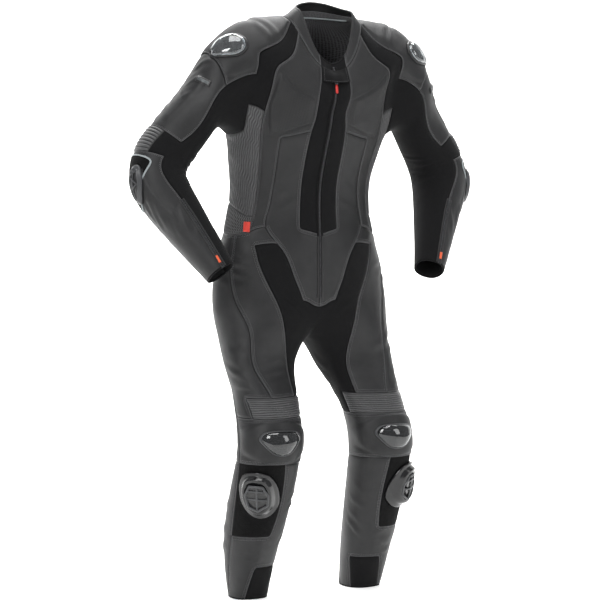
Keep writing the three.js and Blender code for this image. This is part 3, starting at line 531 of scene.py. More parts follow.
across_quads = np.cross(SKIN[QUADS[:, 2]] - SKIN[QUADS[:, 0]], SKIN[QUADS[:, 3]] - SKIN[QUADS[:, 1]])
OUTWARD = np.zeros_like(SKIN)
for corner in range(4):
    np.add.at(OUTWARD, QUADS[:, corner], across_quads)
OUTWARD /= np.linalg.norm(OUTWARD, axis=1)[:, None]

# Every directed edge where one piece meets another, or meets nothing at the neck, a cuff or a hem.
starts = QUADS.ravel()
stops = np.roll(QUADS, -1, axis=1).ravel()
owners = np.repeat(OWNER, 4)
edge_keys = starts * len(SKIN) + stops
edge_order = np.argsort(edge_keys)
sorted_keys = edge_keys[edge_order]
wanted = stops * len(SKIN) + starts
found = np.minimum(np.searchsorted(sorted_keys, wanted), len(sorted_keys) - 1)
across_edge = np.where(sorted_keys[found] == wanted, owners[edge_order][found], -1)
seam_edges = {}
for i in np.flatnonzero(across_edge != owners):
    neighbour = PIECES[across_edge[i]] if across_edge[i] >= 0 else "open"
    seam_edges.setdefault(PIECES[owners[i]], {}).setdefault(neighbour, {})[int(starts[i])] = int(stops[i])


def borders(piece, neighbours):
    """The piece's edges along its neighbours, as lists of skin points in order, the piece on their left."""
    steps = {}
    for neighbour in neighbours:
        steps.update(seam_edges[piece].get(neighbour, {}))
    runs = []
    while steps:
        stop_points = set(steps.values())
        head = next((s for s in steps if s not in stop_points), next(iter(steps)))
        run = [head]
        while run[-1] in steps:
            run.append(steps.pop(run[-1]))
        runs.append(run)
    return runs


# Creases: soft folds that the worn leather keeps, given as lines of (column, row) places on a chart.
# Each is a low ridge between two shallow valleys, tapered to nothing at its ends.
corner_uv = PLACES.reshape(-1, 2)
corner_chart = np.repeat(CHART, 4)
corner_side = np.repeat(SIDE, 4)
chart_corners = {(c, s): np.flatnonzero((corner_chart == c) & (corner_side == s)) for c in (0, 1,
                                                                                            2) for s in (1, -1)}


def skin_index(chart, side, u, v):
    """The skin point nearest to a (column, row) place of one side's chart."""
    rows = chart_corners[chart, side]
    nearest = np.argmin(((corner_uv[rows] - (u, v)) ** 2).sum(axis=1))
    return int(QUADS.ravel()[rows[nearest]])


CREASES = []


def crease(chart, side, places, width, height):
    line = SKIN[[skin_index(chart, side, u, v) for u, v in places]]
    CREASES.append((line, width / 1000, height / 1000))


def crease_fan(chart, centre, lean, count, spread, length, width, height, seed):
    """Several creases side by side over a bend, each side of the suit with its own chances."""
    for side in (1, -1):
        chance = random.Random(seed * 2 + side)
        for i in range(count):
            offset = spread * ((i + 0.5) / count - 0.5) * 2 + chance.uniform(-0.06, 0.06)
            u = centre[0] - math.sin(lean) * offset
            v = centre[1] + math.cos(lean) * offset
            half = length * chance.uniform(0.65, 1.15) / 2
            turn = lean + chance.uniform(-0.16, 0.16)
            bow = chance.uniform(-0.12, 0.12)
            places = []
            for t in np.linspace(-1, 1, 7):
                places.append((u + math.cos(turn) * half * t - math.sin(turn) * bow * (1 - t * t),
                               v + math.sin(turn) * half * t + math.cos(turn) * bow * (1 - t * t)))
            crease(chart, side, places, width * chance.uniform(0.8, 1.25),
                   height * chance.uniform(0.6, 1.2))


crease_fan(ARM_CHART, (0.6, 1.9), 0.5, 3, 0.9, 1.6, 9, 1.5, 11)
crease_fan(ARM_CHART, (1.5, 3.0), -0.4, 4, 0.9, 1.5, 8, 1.4, 12)
crease_fan(ARM_CHART, (6.6, 4.9), 0.0, 6, 1.0, 2.6, 7, 1.8, 13)
crease_fan(ARM_CHART, (7.6, 5.2), 0.1, 4, 0.8, 1.6, 6, 1.3, 14)
crease_fan(ARM_CHART, (0.6, 7.3), 0.9, 5, 0.8, 1.5, 8, 1.7, 15)
crease_fan(ARM_CHART, (2.6, 7.9), -0.5, 4, 0.8, 1.3, 8, 1.3, 16)
crease_fan(ARM_CHART, (9.2, 8.0), 0.7, 3, 0.6, 1.2, 7, 1.2, 17)
crease_fan(ARM_CHART, (3.8, 5.6), 0.2, 4, 0.8, 1.2, 8, 1.2, 18)
crease_fan(LEG_CHART, (3.4, 1.0), -0.5, 4, 0.8, 1.5, 13, 1.5, 21)
crease_fan(LEG_CHART, (2.4, 1.6), 0.4, 3, 0.7, 1.1, 11, 1.3, 22)
crease_fan(LEG_CHART, (6.5, 4.9), 0.0, 6, 1.1, 2.4, 8, 2.0, 23)
crease_fan(LEG_CHART, (1.6, 7.5), 0.3, 4, 0.8, 1.7, 9, 1.8, 24)
crease_fan(LEG_CHART, (3.4, 8.4), -0.2, 4, 0.5, 1.6, 9, 1.8, 25)
crease_fan(LEG_CHART, (6.0, 7.8), 0.2, 3, 1.0, 1.6, 11, 1.5, 26)
crease_fan(LEG_CHART, (9.3, 2.2), 0.5, 4, 1.2, 1.8, 12, 1.6, 27)
crease_fan(TORSO_CHART, (4.0, 12.4), -0.6, 3, 0.7, 1.5, 12, 1.5, 31)
crease_fan(TORSO_CHART, (1.6, 8.4), 0.5, 3, 0.9, 1.1, 12, 1.1, 32)
crease_fan(TORSO_CHART, (7.0, 9.6), 0.1, 5, 1.0, 1.8, 10, 1.8, 33)
crease_fan(TORSO_CHART, (6.9, 5.0), 1.2, 3, 0.8, 1.6, 12, 1.4, 34)
crease_fan(TORSO_CHART, (2.2, 14.0), -0.9, 3, 0.8, 1.2, 9, 1.4, 35)


def crease_height(points):
    """How high the creases stand at points of the skin."""
    height = np.zeros(len(points))
    for line, width, rise in CREASES:
        centre = line.mean(axis=0)
        reach = np.linalg.norm(line - centre, axis=1).max() + 3 * width
        near = np.flatnonzero(np.linalg.norm(points - centre, axis=1) < reach)
        if not len(near):
            continue
        best = np.full(len(near), 9.0)
        along = np.zeros(len(near))
        count = len(line) - 1
        for i in range(count):
            run = line[i + 1] - line[i]
            t = np.clip(((points[near] - line[i]) @ run) / max(run @ run, 1e-12), 0, 1)
            gap = np.linalg.norm(points[near] - line[i] - t[:, None] * run, axis=1)
            closer = gap < best
            best[closer] = gap[closer]
            along[closer] = (i + t[closer]) / count
        q = (best / width) ** 2
        height[near] += rise * (1 - 1.6 * q) * np.exp(-q) * np.sin(np.pi * np.clip(along, 0, 1)) ** 0.7
    return height


# Leather: 1.2 mm cowhide, drum dyed black and left matt, with the fine pebbled grain that tumbling gives
# it.
# Its pores are 1 mm cells drawn at 2 mm so that they show, and the handled hide is a little uneven in tone.
# Towards each panel edge it is painted paler, partly edge wear and partly a painted highlight on the rolled edge.
LEATHER_BLACK = "171718"
LEATHER_WORN_AND_EDGE_LIT = "252526"
GRAIN_CELL = 0.0021
HOLE_PITCH_MM = 4.6
HOLE_MM = 1.5


def leather(name, base, worn_and_edge_lit, rough, perforated=False, paint_rib_light=False):
    made, tree, shader = new_material(name, IOR=1.5, Sheen_Weight=0.03, Sheen_Roughness=0.4)
    shader.inputs["Specular IOR Level"].default_value = 0.36
    place = node(tree, "TexCoord").outputs["Object"]
    pores = node(tree, "TexVoronoi", {"Vector": place, "Scale": 1 / GRAIN_CELL, "Randomness": 0.9})
    hide = node(tree, "TexNoise", {"Vector": place, "Scale": 26.0, "Detail": 5.0, "Roughness": 0.62})
    broad = node(tree, "TexNoise", {"Vector": place, "Scale": 5.0, "Detail": 2.0})
    edge = node(tree, "Attribute", attribute_name="from_seam")
    # Paler within 7 mm of a panel edge: partly wear, partly a painted highlight where the edge rolls under.
    seam_wear_and_highlight = node(tree, "MapRange", {"Value": edge.outputs["Fac"], "From Min": 0.0, "From Max": 7.0,
                                        "To Min": 0.5, "To Max": 0.0})
    patchy = node(tree, "MapRange", {"Value": hide.outputs["Fac"], "From Min": 0.35, "From Max": 0.75})
    tone = node(tree, "Math", {0: patchy.outputs["Result"], 1: 0.55}, operation="MULTIPLY")
    tone = node(tree, "Math", {0: tone.outputs[0], 1: seam_wear_and_highlight.outputs["Result"]}, operation="ADD",
                use_clamp=True)
    colour = node(tree, "Mix", {"Factor": tone.outputs[0], "A": linear(base), "B": linear(worn_and_edge_lit)},
                  data_type="RGBA")
    dull = node(tree, "MapRange", {"Value": broad.outputs["Fac"], "From Min": 0.3, "From Max": 0.7,
                                   "To Min": rough - 0.06, "To Max": rough + 0.08})
    height = node(tree, "Math", {0: pores.outputs["Distance"], 1: hide.outputs["Fac"]}, operation="ADD")
    colour_out, height_out = colour.outputs["Result"], height.outputs[0]
    # Ribbed leather: colour runs from near black in the rib valleys, painted shade, to grey on the crests, a painted
    # highlight.
    if paint_rib_light:
        raised = node(tree, "Attribute", attribute_name="raised")
        painted_rib_light = node(tree, "MapRange", {"Value": raised.outputs["Fac"], "From Min": -0.7, "From Max": 1.1})
        lit = node(tree, "Mix", {"Factor": painted_rib_light.outputs["Result"], "A": linear("090909"),
                                 "B": linear("484849")},
                   data_type="RGBA")
        colour_out = lit.outputs["Result"]
    if perforated:
        cloth = node(tree, "UVMap", uv_map="cloth_mm")
        holes = node(tree, "TexVoronoi", {"Vector": cloth.outputs["UV"], "Scale": 1 / HOLE_PITCH_MM,
                                          "Randomness": 0.0},
                     voronoi_dimensions="2D")
        open_hole = node(tree, "MapRange", {"Value": holes.outputs["Distance"],
                                            "From Min": 0.5 * HOLE_MM / HOLE_PITCH_MM,
                                            "From Max": 0.75 * HOLE_MM / HOLE_PITCH_MM})
        dark = node(tree, "Mix", {"Factor": open_hole.outputs["Result"], "A": linear("0b0b0b"),
                                  "B": colour_out},
                    data_type="RGBA")
        colour_out = dark.outputs["Result"]
        deep = node(tree, "Math", {0: height_out, 1: open_hole.outputs["Result"]}, operation="ADD")
        height_out = deep.outputs[0]
    bump = node(tree, "Bump", {"Height": height_out, "Strength": 0.32, "Distance": 0.0009})
    tree.links.new(colour_out, shader.inputs["Base Color"])
    tree.links.new(dull.outputs["Result"], shader.inputs["Roughness"])
    tree.links.new(bump.outputs["Normal"], shader.inputs["Normal"])
    return made


full_leather = leather("full_grain_cowhide", LEATHER_BLACK, LEATHER_WORN_AND_EDGE_LIT, 0.5)
perforated_leather = leather("perforated_cowhide", LEATHER_BLACK, LEATHER_WORN_AND_EDGE_LIT, 0.52, perforated=True)
# Its colour is painted by rib height: painted shade in the valleys, a painted highlight on the crests.
rib_leather = leather("thin_rib_leather", "1b1b1c", "2a2a2b", 0.46, paint_rib_light=True)
# A paler leather for the folded seam edges: its lighter colour is a painted highlight.
edge_highlight_leather = leather("folded_edge_highlight_leather", "343435", "4a4a4b", 0.42)


# Stretch cloth: a dense black polyamide knit with elastane, which gives where leather can't.
# Its wales are 0.4 mm apart, drawn at 1.4 mm, and the brushed face scatters light as a soft bloom.
def stretch_knit(name, base, raised):
    made, tree, shader = new_material(name, Roughness=0.9, IOR=1.45, Sheen_Weight=0.04, Sheen_Roughness=0.5)
    shader.inputs["Specular IOR Level"].default_value = 0.16
    cloth = node(tree, "UVMap", uv_map="cloth_mm")
    wales = node(tree, "TexWave", {"Vector": cloth.outputs["UV"], "Scale": 0.32, "Distortion": 0.6,
                                   "Detail": 1.0},
                 bands_direction="DIAGONAL")
    lint = node(tree, "TexNoise", {"Vector": node(tree, "TexCoord").outputs["Object"], "Scale": 180.0,
                                   "Detail": 3.0})
    mixed = node(tree, "Math", {0: wales.outputs["Fac"], 1: lint.outputs["Fac"]}, operation="MULTIPLY")
    colour = node(tree, "Mix", {"Factor": mixed.outputs[0], "A": linear(base), "B": linear(raised)},
                  data_type="RGBA")
    bump = node(tree, "Bump", {"Height": mixed.outputs[0], "Strength": 0.35, "Distance": 0.0006})
    tree.links.new(colour.outputs["Result"], shader.inputs["Base Color"])
    tree.links.new(bump.outputs["Normal"], shader.inputs["Normal"])
    return made


black_knit = stretch_knit("polyamide_stretch_knit", "0c0c0d", "161617")


# The cut panels: each is a wall of leather or cloth 2.2 mm thick with its lining, with its edges turned
# under at
# the seams. All come out of the one rounded skin, so they meet along shared lines a third of a millimetre
# apart.
WALL = 0.0022
HALF_GAP = 0.00017
RIPPLE = 0.0009
PANELS = {}


def mesh_object(name, verts, faces, material, uv=None, gap=None, raised=None):
    mesh = bpy.data.meshes.new(name)
    mesh.from_pydata(np.asarray(verts).tolist(), [], faces)
    mesh.polygons.foreach_set("use_smooth", np.ones(len(mesh.polygons), bool))
    if uv is not None:
        layer = mesh.uv_layers.new(name="cloth_mm")
        corners = np.empty(len(mesh.loops), np.int32)
        mesh.loops.foreach_get("vertex_index", corners)
        layer.data.foreach_set("uv", (uv[corners] * 50).ravel())
    if gap is not None:
        mesh.attributes.new("from_seam", "FLOAT", "POINT").data.foreach_set("value", gap.astype(np.float32))
    if raised is not None:
        mesh.attributes.new("raised", "FLOAT", "POINT").data.foreach_set("value", raised.astype(np.float32))
    mesh.materials.append(material)
    made = bpy.data.objects.new(name, mesh)
    bpy.context.collection.objects.link(made)
    return made


def refined(points, normals, uv, quads, steps):
    """Cuts each quad into steps by steps, and says which new point each quad's first corner is."""
    grid = np.arange(steps + 1) / steps
    s, t = [g.ravel() for g in np.meshgrid(grid, grid, indexing="ij")]
    weights = np.stack([(1 - s) * (1 - t), s * (1 - t), s * t, (1 - s) * t], axis=1)
    spread = [np.einsum("gc,qcx->qgx", weights, values[quads]) for values in (points, normals, uv)]
    keys = np.round(spread[0].reshape(-1, 3) * 1e6).astype(np.int64)
    _, first, index = np.unique(keys, axis=0, return_index=True, return_inverse=True)
    index = index.reshape(len(quads), -1)
    at = np.arange((steps + 1) ** 2).reshape(steps + 1, steps + 1)
    local = np.stack([at[:-1, :-1], at[1:, :-1], at[1:, 1:], at[:-1, 1:]], axis=-1).reshape(-1, 4)
    points, normals, uv = [values.reshape(-1, values.shape[-1])[first] for values in spread]
    normals = normals / np.linalg.norm(normals, axis=1)[:, None]
    return points, normals, uv, index[:, local].reshape(-1, 4), index[:, 0]


def open_edges(quads, size):
    """The directed edges that only one quad has, as a mapping from each edge's start to its end."""
    a, b = quads.ravel(), np.roll(quads, -1, axis=1).ravel()
    keys, back = a * size + b, b * size + a
    lonely = ~np.isin(keys, back)
    return dict(zip(a[lonely].tolist(), b[lonely].tolist()))


def soft_ripple(points):
    """The slow unevenness of hide and cloth that nothing holds flat."""
    return np.array([noise.noise(Vector(p) * 17) + 0.5 * noise.noise(Vector(p) * 41) for p in points.tolist()])


def panel(name, material, relief=None, steps=1, wrap=False, puff=1.1, roll=1.7, creases=1.0):
    """One cut piece as a closed wall. relief adds its pads or ribs, in metres, from places, points and side."""
    rows = np.flatnonzero(OWNER == PIECES.index(name))
    used, local = np.unique(QUADS[rows], return_inverse=True)
    local = local.reshape(-1, 4)
    places = PLACES[rows].copy()
    if wrap:
        places[..., 0] += 10 * (places[..., 0] < 5)
    uv = np.zeros((len(used), 2))
    uv[local] = places
    points, normals = SKIN[used], OUTWARD[used]
    first = local[:, 0]
    quads = local
    if steps > 1:
        points, normals, uv, quads, first = refined(points, normals, uv, local, steps)
    coarse = first.reshape(-1, 4)
    steps_round = open_edges(quads, len(points))
    edge_index = np.array(list(steps_round))
    tree = kdtree.KDTree(len(edge_index))
    for i, place in enumerate(points[edge_index].tolist()):
        tree.insert(place, i)
    tree.balance()
    gap = np.array([tree.find(p)[2] for p in points.tolist()]) * 1000
    calm = smoothstep(gap, 1, 13)
    side = -1 if name.endswith("right") else 1
    height = 0.001 * (puff * (1 - np.exp(-gap / 16)) - roll * np.exp(-(gap / 3.4) ** 2))
    height += calm * (creases * crease_height(points) + RIPPLE * soft_ripple(points))
    pattern = relief(uv, points, gap, side) if relief else np.zeros(len(points))
    height += pattern
    inset = np.zeros_like(points)
    for a, b in steps_round.items():
        square = np.cross(normals[a], points[b] - points[a])
        square /= max(np.linalg.norm(square), 1e-9)
        inset[a] += square
        inset[b] += square
    length = np.linalg.norm(inset, axis=1)[:, None]
    inset = inset / np.maximum(length, 1e-9) * (length > 0) * HALF_GAP
    outer = points + inset + normals * height[:, None]
    inner_used, inner_quads = np.unique(coarse, return_inverse=True)
    inner_quads = inner_quads.reshape(-1, 4) + len(points)
    inner = (points + inset - normals * (WALL - np.minimum(height, 0))[:, None])[inner_used]
    inner_of = {int(v): len(points) + i for i, v in enumerate(inner_used)}
    faces = quads.tolist() + inner_quads[:, ::-1].tolist()
    left = dict(steps_round)
    while left:
        start = next(v for v in left if v in inner_of)
        here, under = start, inner_of[start]
        while here in left:
            ahead = left.pop(here)
            if ahead in inner_of:
                faces.append([here, under, inner_of[ahead], ahead])
                under = inner_of[ahead]
            else:
                faces.append([here, under, ahead])
            here = ahead
    verts = np.concatenate([outer, inner])
    uv_all = np.concatenate([uv, uv[inner_used]])
    gap_all = np.concatenate([gap, np.full(len(inner), 40.0)])
    raised_all = np.concatenate([pattern * 1000, np.zeros(len(inner))])
    made = mesh_object(name + "_panel", verts, faces, material, uv_all, gap_all, raised_all)
    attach(made, "suit")
    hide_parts(name)
    PANELS[name] = {"outer": outer, "quads": quads,
                    "tree": BVHTree.FromPolygons(outer.tolist(), quads.tolist())}
    length = round(float(np.ptp(SKIN[used], axis=0).max()), 3)
    return made


SIDES = (("left", 1), ("right", -1))


def inside_outline(uv, outline):
    """How far each place is inside a convex outline of places, in columns."""
    depth = np.full(len(uv), 9.0)
    for (u0, v0), (u1, v1) in zip(outline, outline[1:] + outline[:1]):
        length = math.hypot(u1 - u0, v1 - v0)
        depth = np.minimum(depth, ((u1 - u0) * (uv[:, 1] - v0) - (v1 - v0) * (uv[:, 0] - u0)) / length)
    return depth


# Chest: perforated leather from the collar down to the waist, with a five-sided foam pad sewn in under it.
# The pad stands 3.5 mm proud and a stitched groove runs round it.
CHEST_PAD = [(1.18, 3.3), (2.72, 3.05), (2.86, 4.6), (2.5, 5.95), (1.18, 5.35)]


def chest_relief(uv, points, gap, side):
    depth = inside_outline(uv, CHEST_PAD)
    step = smoothstep(depth, 0, 0.16)
    groove = np.exp(-((depth + 0.03) / 0.07) ** 2)
    return 0.001 * (3.1 * step + 0.5 * smoothstep(depth, 0.1, 0.8) - 1.5 * groove)


for word, side in SIDES:
    panel("chest_" + word, perforated_leather, chest_relief, puff=1.4, creases=0.6)


# Collar and abdomen: plain smooth leather, the collar a low soft band, the abdomen a long V between the
# hips.
panel("collar", full_leather, puff=0.8, creases=0.3)
for word, side in SIDES:
    panel("abdomen_" + word, full_leather, creases=0.8)


# Shoulder: a leather cap over foam and a hard cup. Two sewn rings stand round the slider and a pad lies on
# the yoke.
SLIDER_AT = {1: np.array([0.250, -0.048, -0.027]), -1: np.array([-0.250, -0.048, -0.027])}
YOKE_PAD = [(4.1, 0.95), (5.6, 0.95), (5.75, 2.5), (4.1, 2.62)]


def shoulder_relief(uv, points, gap, side):
    reach = points - SLIDER_AT[side]
    across = np.array([0.72 * side, 0.62, 0.0])
    sideways = reach @ across / 0.066
    upward = reach[:, 2] / 0.05
    far = np.sqrt(sideways ** 2 + upward ** 2 + (reach @ np.array([-0.4 * side, 0.5, 0])) ** 2 / 0.07 ** 2)
    rings = 2.3 * smoothstep(far, 1.42, 1.24) + 1.8 * smoothstep(far, 1.75,
                                                                 1.6) - 1.2 * np.exp(-((far - 1.46) / 0.05) ** 2)
    on_torso = (uv[:, 0] > 3.9) & (uv[:, 1] < 3.2) & (points[:, 2] > -0.05)
    pad = inside_outline(uv, YOKE_PAD) * on_torso
    return 0.001 * (rings + 3.0 * smoothstep(pad, 0, 0.22))


for word, side in SIDES:
    panel("shoulder_" + word, full_leather, shoulder_relief, creases=0.5)


# Stretch panels: black knit from the collar in front of the armhole and down the inside of the sleeve, the
# front
# strip beside the zip, the crotch and inner thighs in one piece, and the gore at the front of each hem.
for word, side in SIDES:
    panel("stretch_" + word, black_knit, puff=0.4, roll=2.0, creases=0.9)
    panel("zip_panel_" + word, black_knit, puff=0.2, roll=1.0, creases=0.2)
    panel("ankle_stretch_" + word, black_knit, puff=0.3, creases=0.5)
panel("gusset", black_knit, puff=0.3, roll=2.0, creases=0.9)


# Ribbed panels: thin leather sewn over elastic in close folds, so that it opens as the wearer bends.
# The folds run down the side body, and across above the elbow and the knee. Their crests carry a painted highlight and
# their valleys painted shade.
def rib_profile(turns):
    """Rounded folds with sharp valleys between them, from 0 to 1."""
    return np.abs(np.sin(np.pi * turns)) ** 0.65


def side_rib_relief(uv, points, gap, side):
    wander = 0.05 * np.sin(uv[:, 1] * 5.1 + uv[:, 0] * 2) + 0.03 * np.sin(uv[:, 1] * 13 + uv[:, 0] * 7)
    return 0.0021 * (rib_profile(7 * (uv[:, 0] + wander)) - 0.45) * smoothstep(gap, 0, 5)


def knee_rib_relief(uv, points, gap, side):
    wander = 0.012 * np.sin(uv[:, 0] * 4 + uv[:, 1] * 9)
    return 0.0026 * (rib_profile(10 * (uv[:, 1] + wander)) - 0.4) * smoothstep(gap, 0, 4)


def elbow_rib_relief(uv, points, gap, side):
    return 0.0030 * (rib_profile(8 * uv[:, 1]) - 0.4) * smoothstep(gap, 0, 4)


for word, side in SIDES:
    panel("side_ribs_" + word, rib_leather, side_rib_relief, steps=2, puff=0.6,
          creases=0.3)
    panel("knee_ribs_" + word, rib_leather, knee_rib_relief, steps=4, puff=1.2,
          creases=0.2)
    panel("elbow_ribs_" + word, rib_leather, elbow_rib_relief, steps=4, puff=1.6,
          creases=0.2)


# Hip gore: a thick spacer mesh of black polyester with open diamonds 7 mm across, which lets air through.
# The threads between the diamonds are painted light grey by their height, a painted highlight, and the hollows stay
# near black.
DIAMONDS_PER_COLUMN = 7


def spacer_mesh():
    made, tree, shader = new_material("polyester_spacer_mesh", Roughness=0.7, Sheen_Weight=0.15)
    raised = node(tree, "Attribute", attribute_name="raised")
    # Painted light by height: near black in the diamond hollows, light grey on the raised web as a painted highlight.
    web_light_share = node(tree, "MapRange", {"Value": raised.outputs["Fac"], "From Min": -0.6, "From Max": 0.8})
    lint = node(tree, "TexNoise", {"Vector": node(tree, "TexCoord").outputs["Object"], "Scale": 240.0,
                                   "Detail": 3.0})
    colour = node(tree, "Mix", {"Factor": web_light_share.outputs["Result"], "A": linear("060606"),
                                "B": linear("4e4e4f")},
                  data_type="RGBA")
    bump = node(tree, "Bump", {"Height": lint.outputs["Fac"], "Strength": 0.3, "Distance": 0.0006})
    tree.links.new(colour.outputs["Result"], shader.inputs["Base Color"])
    tree.links.new(bump.outputs["Normal"], shader.inputs["Normal"])
    return made


def diamond_relief(uv, points, gap, side):
    a = np.abs(((DIAMONDS_PER_COLUMN * (uv[:, 0] + 0.55 * uv[:, 1])) % 1) - 0.5) * 2
    b = np.abs(((DIAMONDS_PER_COLUMN * (uv[:, 0] - 0.55 * uv[:, 1])) % 1) - 0.5) * 2
    web = np.maximum(a, b)
    return 0.0019 * (smoothstep(web, 0.45, 0.9) - 0.5) * smoothstep(gap, 0, 4)


diamond_mesh = spacer_mesh()
for word, side in SIDES:
    panel("hip_mesh_" + word, diamond_mesh, diamond_relief, steps=3, puff=1.0, creases=0)


# Legs: plain leather round the thigh and shin, a cup with a raised rim over the knee, and a calf panel
# behind.
KNEE_AT = {1: np.array([0.1565, -0.118, -0.934]), -1: np.array([-0.1455, -0.118, -0.934])}


def knee_cup_relief(uv, points, gap, side):
    reach = points - KNEE_AT[side]
    far = np.sqrt((reach[:, 0] / 0.062) ** 2 + ((reach[:, 2] - 0.002) / 0.038) ** 2)
    front = smoothstep(-points[:, 1], 0.02, 0.07)
    rim = 2.6 * smoothstep(far, 1.38, 1.2) - 1.3 * np.exp(-((far - 1.42) / 0.05) ** 2)
    wing = 1.6 * smoothstep(far, 1.95, 1.78)
    return 0.001 * (rim + wing) * front


def thigh_pad_relief(uv, points, gap, side):
    pad = inside_outline(uv, [(3.15, 0.4), (4.5, 0.55), (4.6, 2.5), (3.3, 2.7)])
    return 0.0012 * smoothstep(pad * (points[:, 2] < -0.68), 0, 0.25)


for word, side in SIDES:
    panel("thigh_front_" + word, full_leather, puff=1.5)
    panel("thigh_outer_" + word, full_leather, thigh_pad_relief, puff=1.5)
    panel("leg_back_" + word, full_leather)
    panel("knee_cup_" + word, full_leather, knee_cup_relief, wrap=True, creases=0.6)
    panel("shin_" + word, full_leather, wrap=True)
    panel("calf_" + word, full_leather)


# Sleeves: the upper arm has a soft pad inside the leather, and the forearm is one shaped panel down to the
# cuff.
def upper_arm_relief(uv, points, gap, side):
    pad = inside_outline(uv, [(-0.1, 1.55), (1.9, 1.6), (2.1, 3.5), (0.2, 3.75)])
    return 0.001 * (2.2 * smoothstep(pad, 0, 0.3))


def forearm_relief(uv, points, gap, side):
    pad = inside_outline(uv, [(-0.3, 5.6), (0.75, 5.3), (0.9, 7.2), (-0.2, 7.4)])
    return 0.001 * (1.4 * smoothstep(pad, 0, 0.25))


for word, side in SIDES:
    panel("upper_arm_" + word, full_leather, upper_arm_relief)
    panel("forearm_" + word, full_leather, forearm_relief)


# Back: three plain leather panels, wide over the shoulders, short at the waist and full over the seat.
panel("back_upper", full_leather, puff=1.8)
panel("back_lower", full_leather, puff=1.2)
panel("seat", full_leather, puff=1.8)


# Knee slider bases: deep black loop pile, brushed up so that the hooks under a slider grip it.
# Its 2 mm loops hardly reflect light, and stand as a soft uneven nap.
def loop_pile():
    made, tree, shader = new_material("brushed_loop_pile", Roughness=1.0, Sheen_Weight=0.04,
                                      Sheen_Roughness=0.7)
    shader.inputs["Specular IOR Level"].default_value = 0.05
    place = node(tree, "TexCoord").outputs["Object"]
    nap = node(tree, "TexNoise", {"Vector": place, "Scale": 330.0, "Detail": 4.0, "Roughness": 0.7})
    tufts = node(tree, "TexNoise", {"Vector": place, "Scale": 70.0, "Detail": 2.0})
    mixed = node(tree, "Math", {0: nap.outputs["Fac"], 1: tufts.outputs["Fac"]}, operation="MULTIPLY")
    colour = node(tree, "Mix", {"Factor": mixed.outputs[0], "A": linear("020202"), "B": linear("101011")},
                  data_type="RGBA")
    bump = node(tree, "Bump", {"Height": mixed.outputs[0], "Strength": 0.9, "Distance": 0.0022})
    tree.links.new(colour.outputs["Result"], shader.inputs["Base Color"])
    tree.links.new(bump.outputs["Normal"], shader.inputs["Normal"])
    return made


def pile_relief(uv, points, gap, side):
    tufts = np.array([noise.noise(Vector(p) * 260) for p in points.tolist()])
    return (0.0006 * tufts - 0.0006) * smoothstep(gap, 2, 8)


fuzzy_loops = loop_pile()
for word, side in SIDES:
    panel("slider_base_" + word, fuzzy_loops, pile_relief, steps=2, puff=-0.4, roll=1.0,
          creases=0)


# Seams: where leather laps over its neighbour its edge is folded, drawn as a thin leather cord in a paler colour, a
# painted highlight where the fold catches the light, and one or two rows of grey thread run beside it. The stitches are
# 3 mm long and 0.9 mm thick, about the real 3 to the centimetre.
RANK = {
    "collar": 9, "chest": 8, "shoulder": 8, "abdomen": 7, "upper_arm": 6, "forearm": 6, "back_upper": 6,
    "knee_cup": 5, "thigh_front": 5, "thigh_outer": 4, "shin": 4, "back_lower": 4, "calf": 3, "leg_back": 3,
    "seat": 3,
}
TWO_ROWS = {"thigh_front", "thigh_outer", "knee_cup", "shin", "calf", "seat", "leg_back", "abdomen"}
STITCH_PITCH = 0.0042
STITCH_LENGTH = 0.0031


def kind_of(piece):
    return piece.removesuffix("_left").removesuffix("_right")


def line_on(piece, run, inset, lift):
    """A line beside a border of a panel: its points on the panel's own surface, and the directions out of it."""
    base, normals = SKIN[run], OUTWARD[run]
    along = np.gradient(base, axis=0) if len(run) > 1 else base * 0
    square = np.cross(normals, along)
    square /= np.maximum(np.linalg.norm(square, axis=1), 1e-9)[:, None]
    points, outs = [], []
    for place, normal in zip(base + square * inset, normals):
        hit = PANELS[piece]["tree"].find_nearest(Vector(place))
        points.append(np.array(hit[0]) + normal * lift)
        outs.append(normal)
    return smoothed(np.array(points)), np.array(outs)


def smoothed(points, rounds=2):
    points = points.copy()
    for _ in range(rounds):
        if len(points) > 2:
            points[1:-1] = (points[:-2] + 2 * points[1:-1] + points[2:]) / 4
    return points


def resampled(points, normals, pitch):
    """The line's points at an even pitch along its length."""
    lengths = np.r_[0, np.cumsum(np.linalg.norm(np.diff(points, axis=0), axis=1))]
    count = max(2, int(lengths[-1] / pitch) + 1)
    at = np.linspace(0, lengths[-1], count)
    even = np.stack([np.interp(at, lengths, points[:, a]) for a in range(3)], axis=1)
    out = np.stack([np.interp(at, lengths, normals[:, a]) for a in range(3)], axis=1)
    return even, out / np.linalg.norm(out, axis=1)[:, None]


def frames_along(points, normals):
    along = np.gradient(points, axis=0)
    along /= np.maximum(np.linalg.norm(along, axis=1), 1e-9)[:, None]
    across = np.cross(normals, along)
    across /= np.maximum(np.linalg.norm(across, axis=1), 1e-9)[:, None]
    return along, across, np.cross(along, across)


def bands(lines, half_width, half_height, sides=6):
    """Flattened cords along lines, closed at their ends."""
    verts, faces = [], []
    for points, normals in lines:
        if len(points) < 3:
            continue
        along, across, up = frames_along(points, normals)
        base = len(verts)
        for i in range(len(points)):
            for k in range(sides):
                turn = 2 * math.pi * (k + 0.5) / sides
                verts.append(points[i] + across[i] * half_width * math.cos(turn) + up[i] * half_height * math.sin(turn))
        for i in range(len(points) - 1):
            for k in range(sides):
                a, b = base + i * sides + k, base + i * sides + (k + 1) % sides
                faces.append([a, b, b + sides, a + sides])
        faces.append([base + k for k in range(sides)][::-1])
        faces.append([base + (len(points) - 1) * sides + k for k in range(sides)])
    return np.array(verts), faces


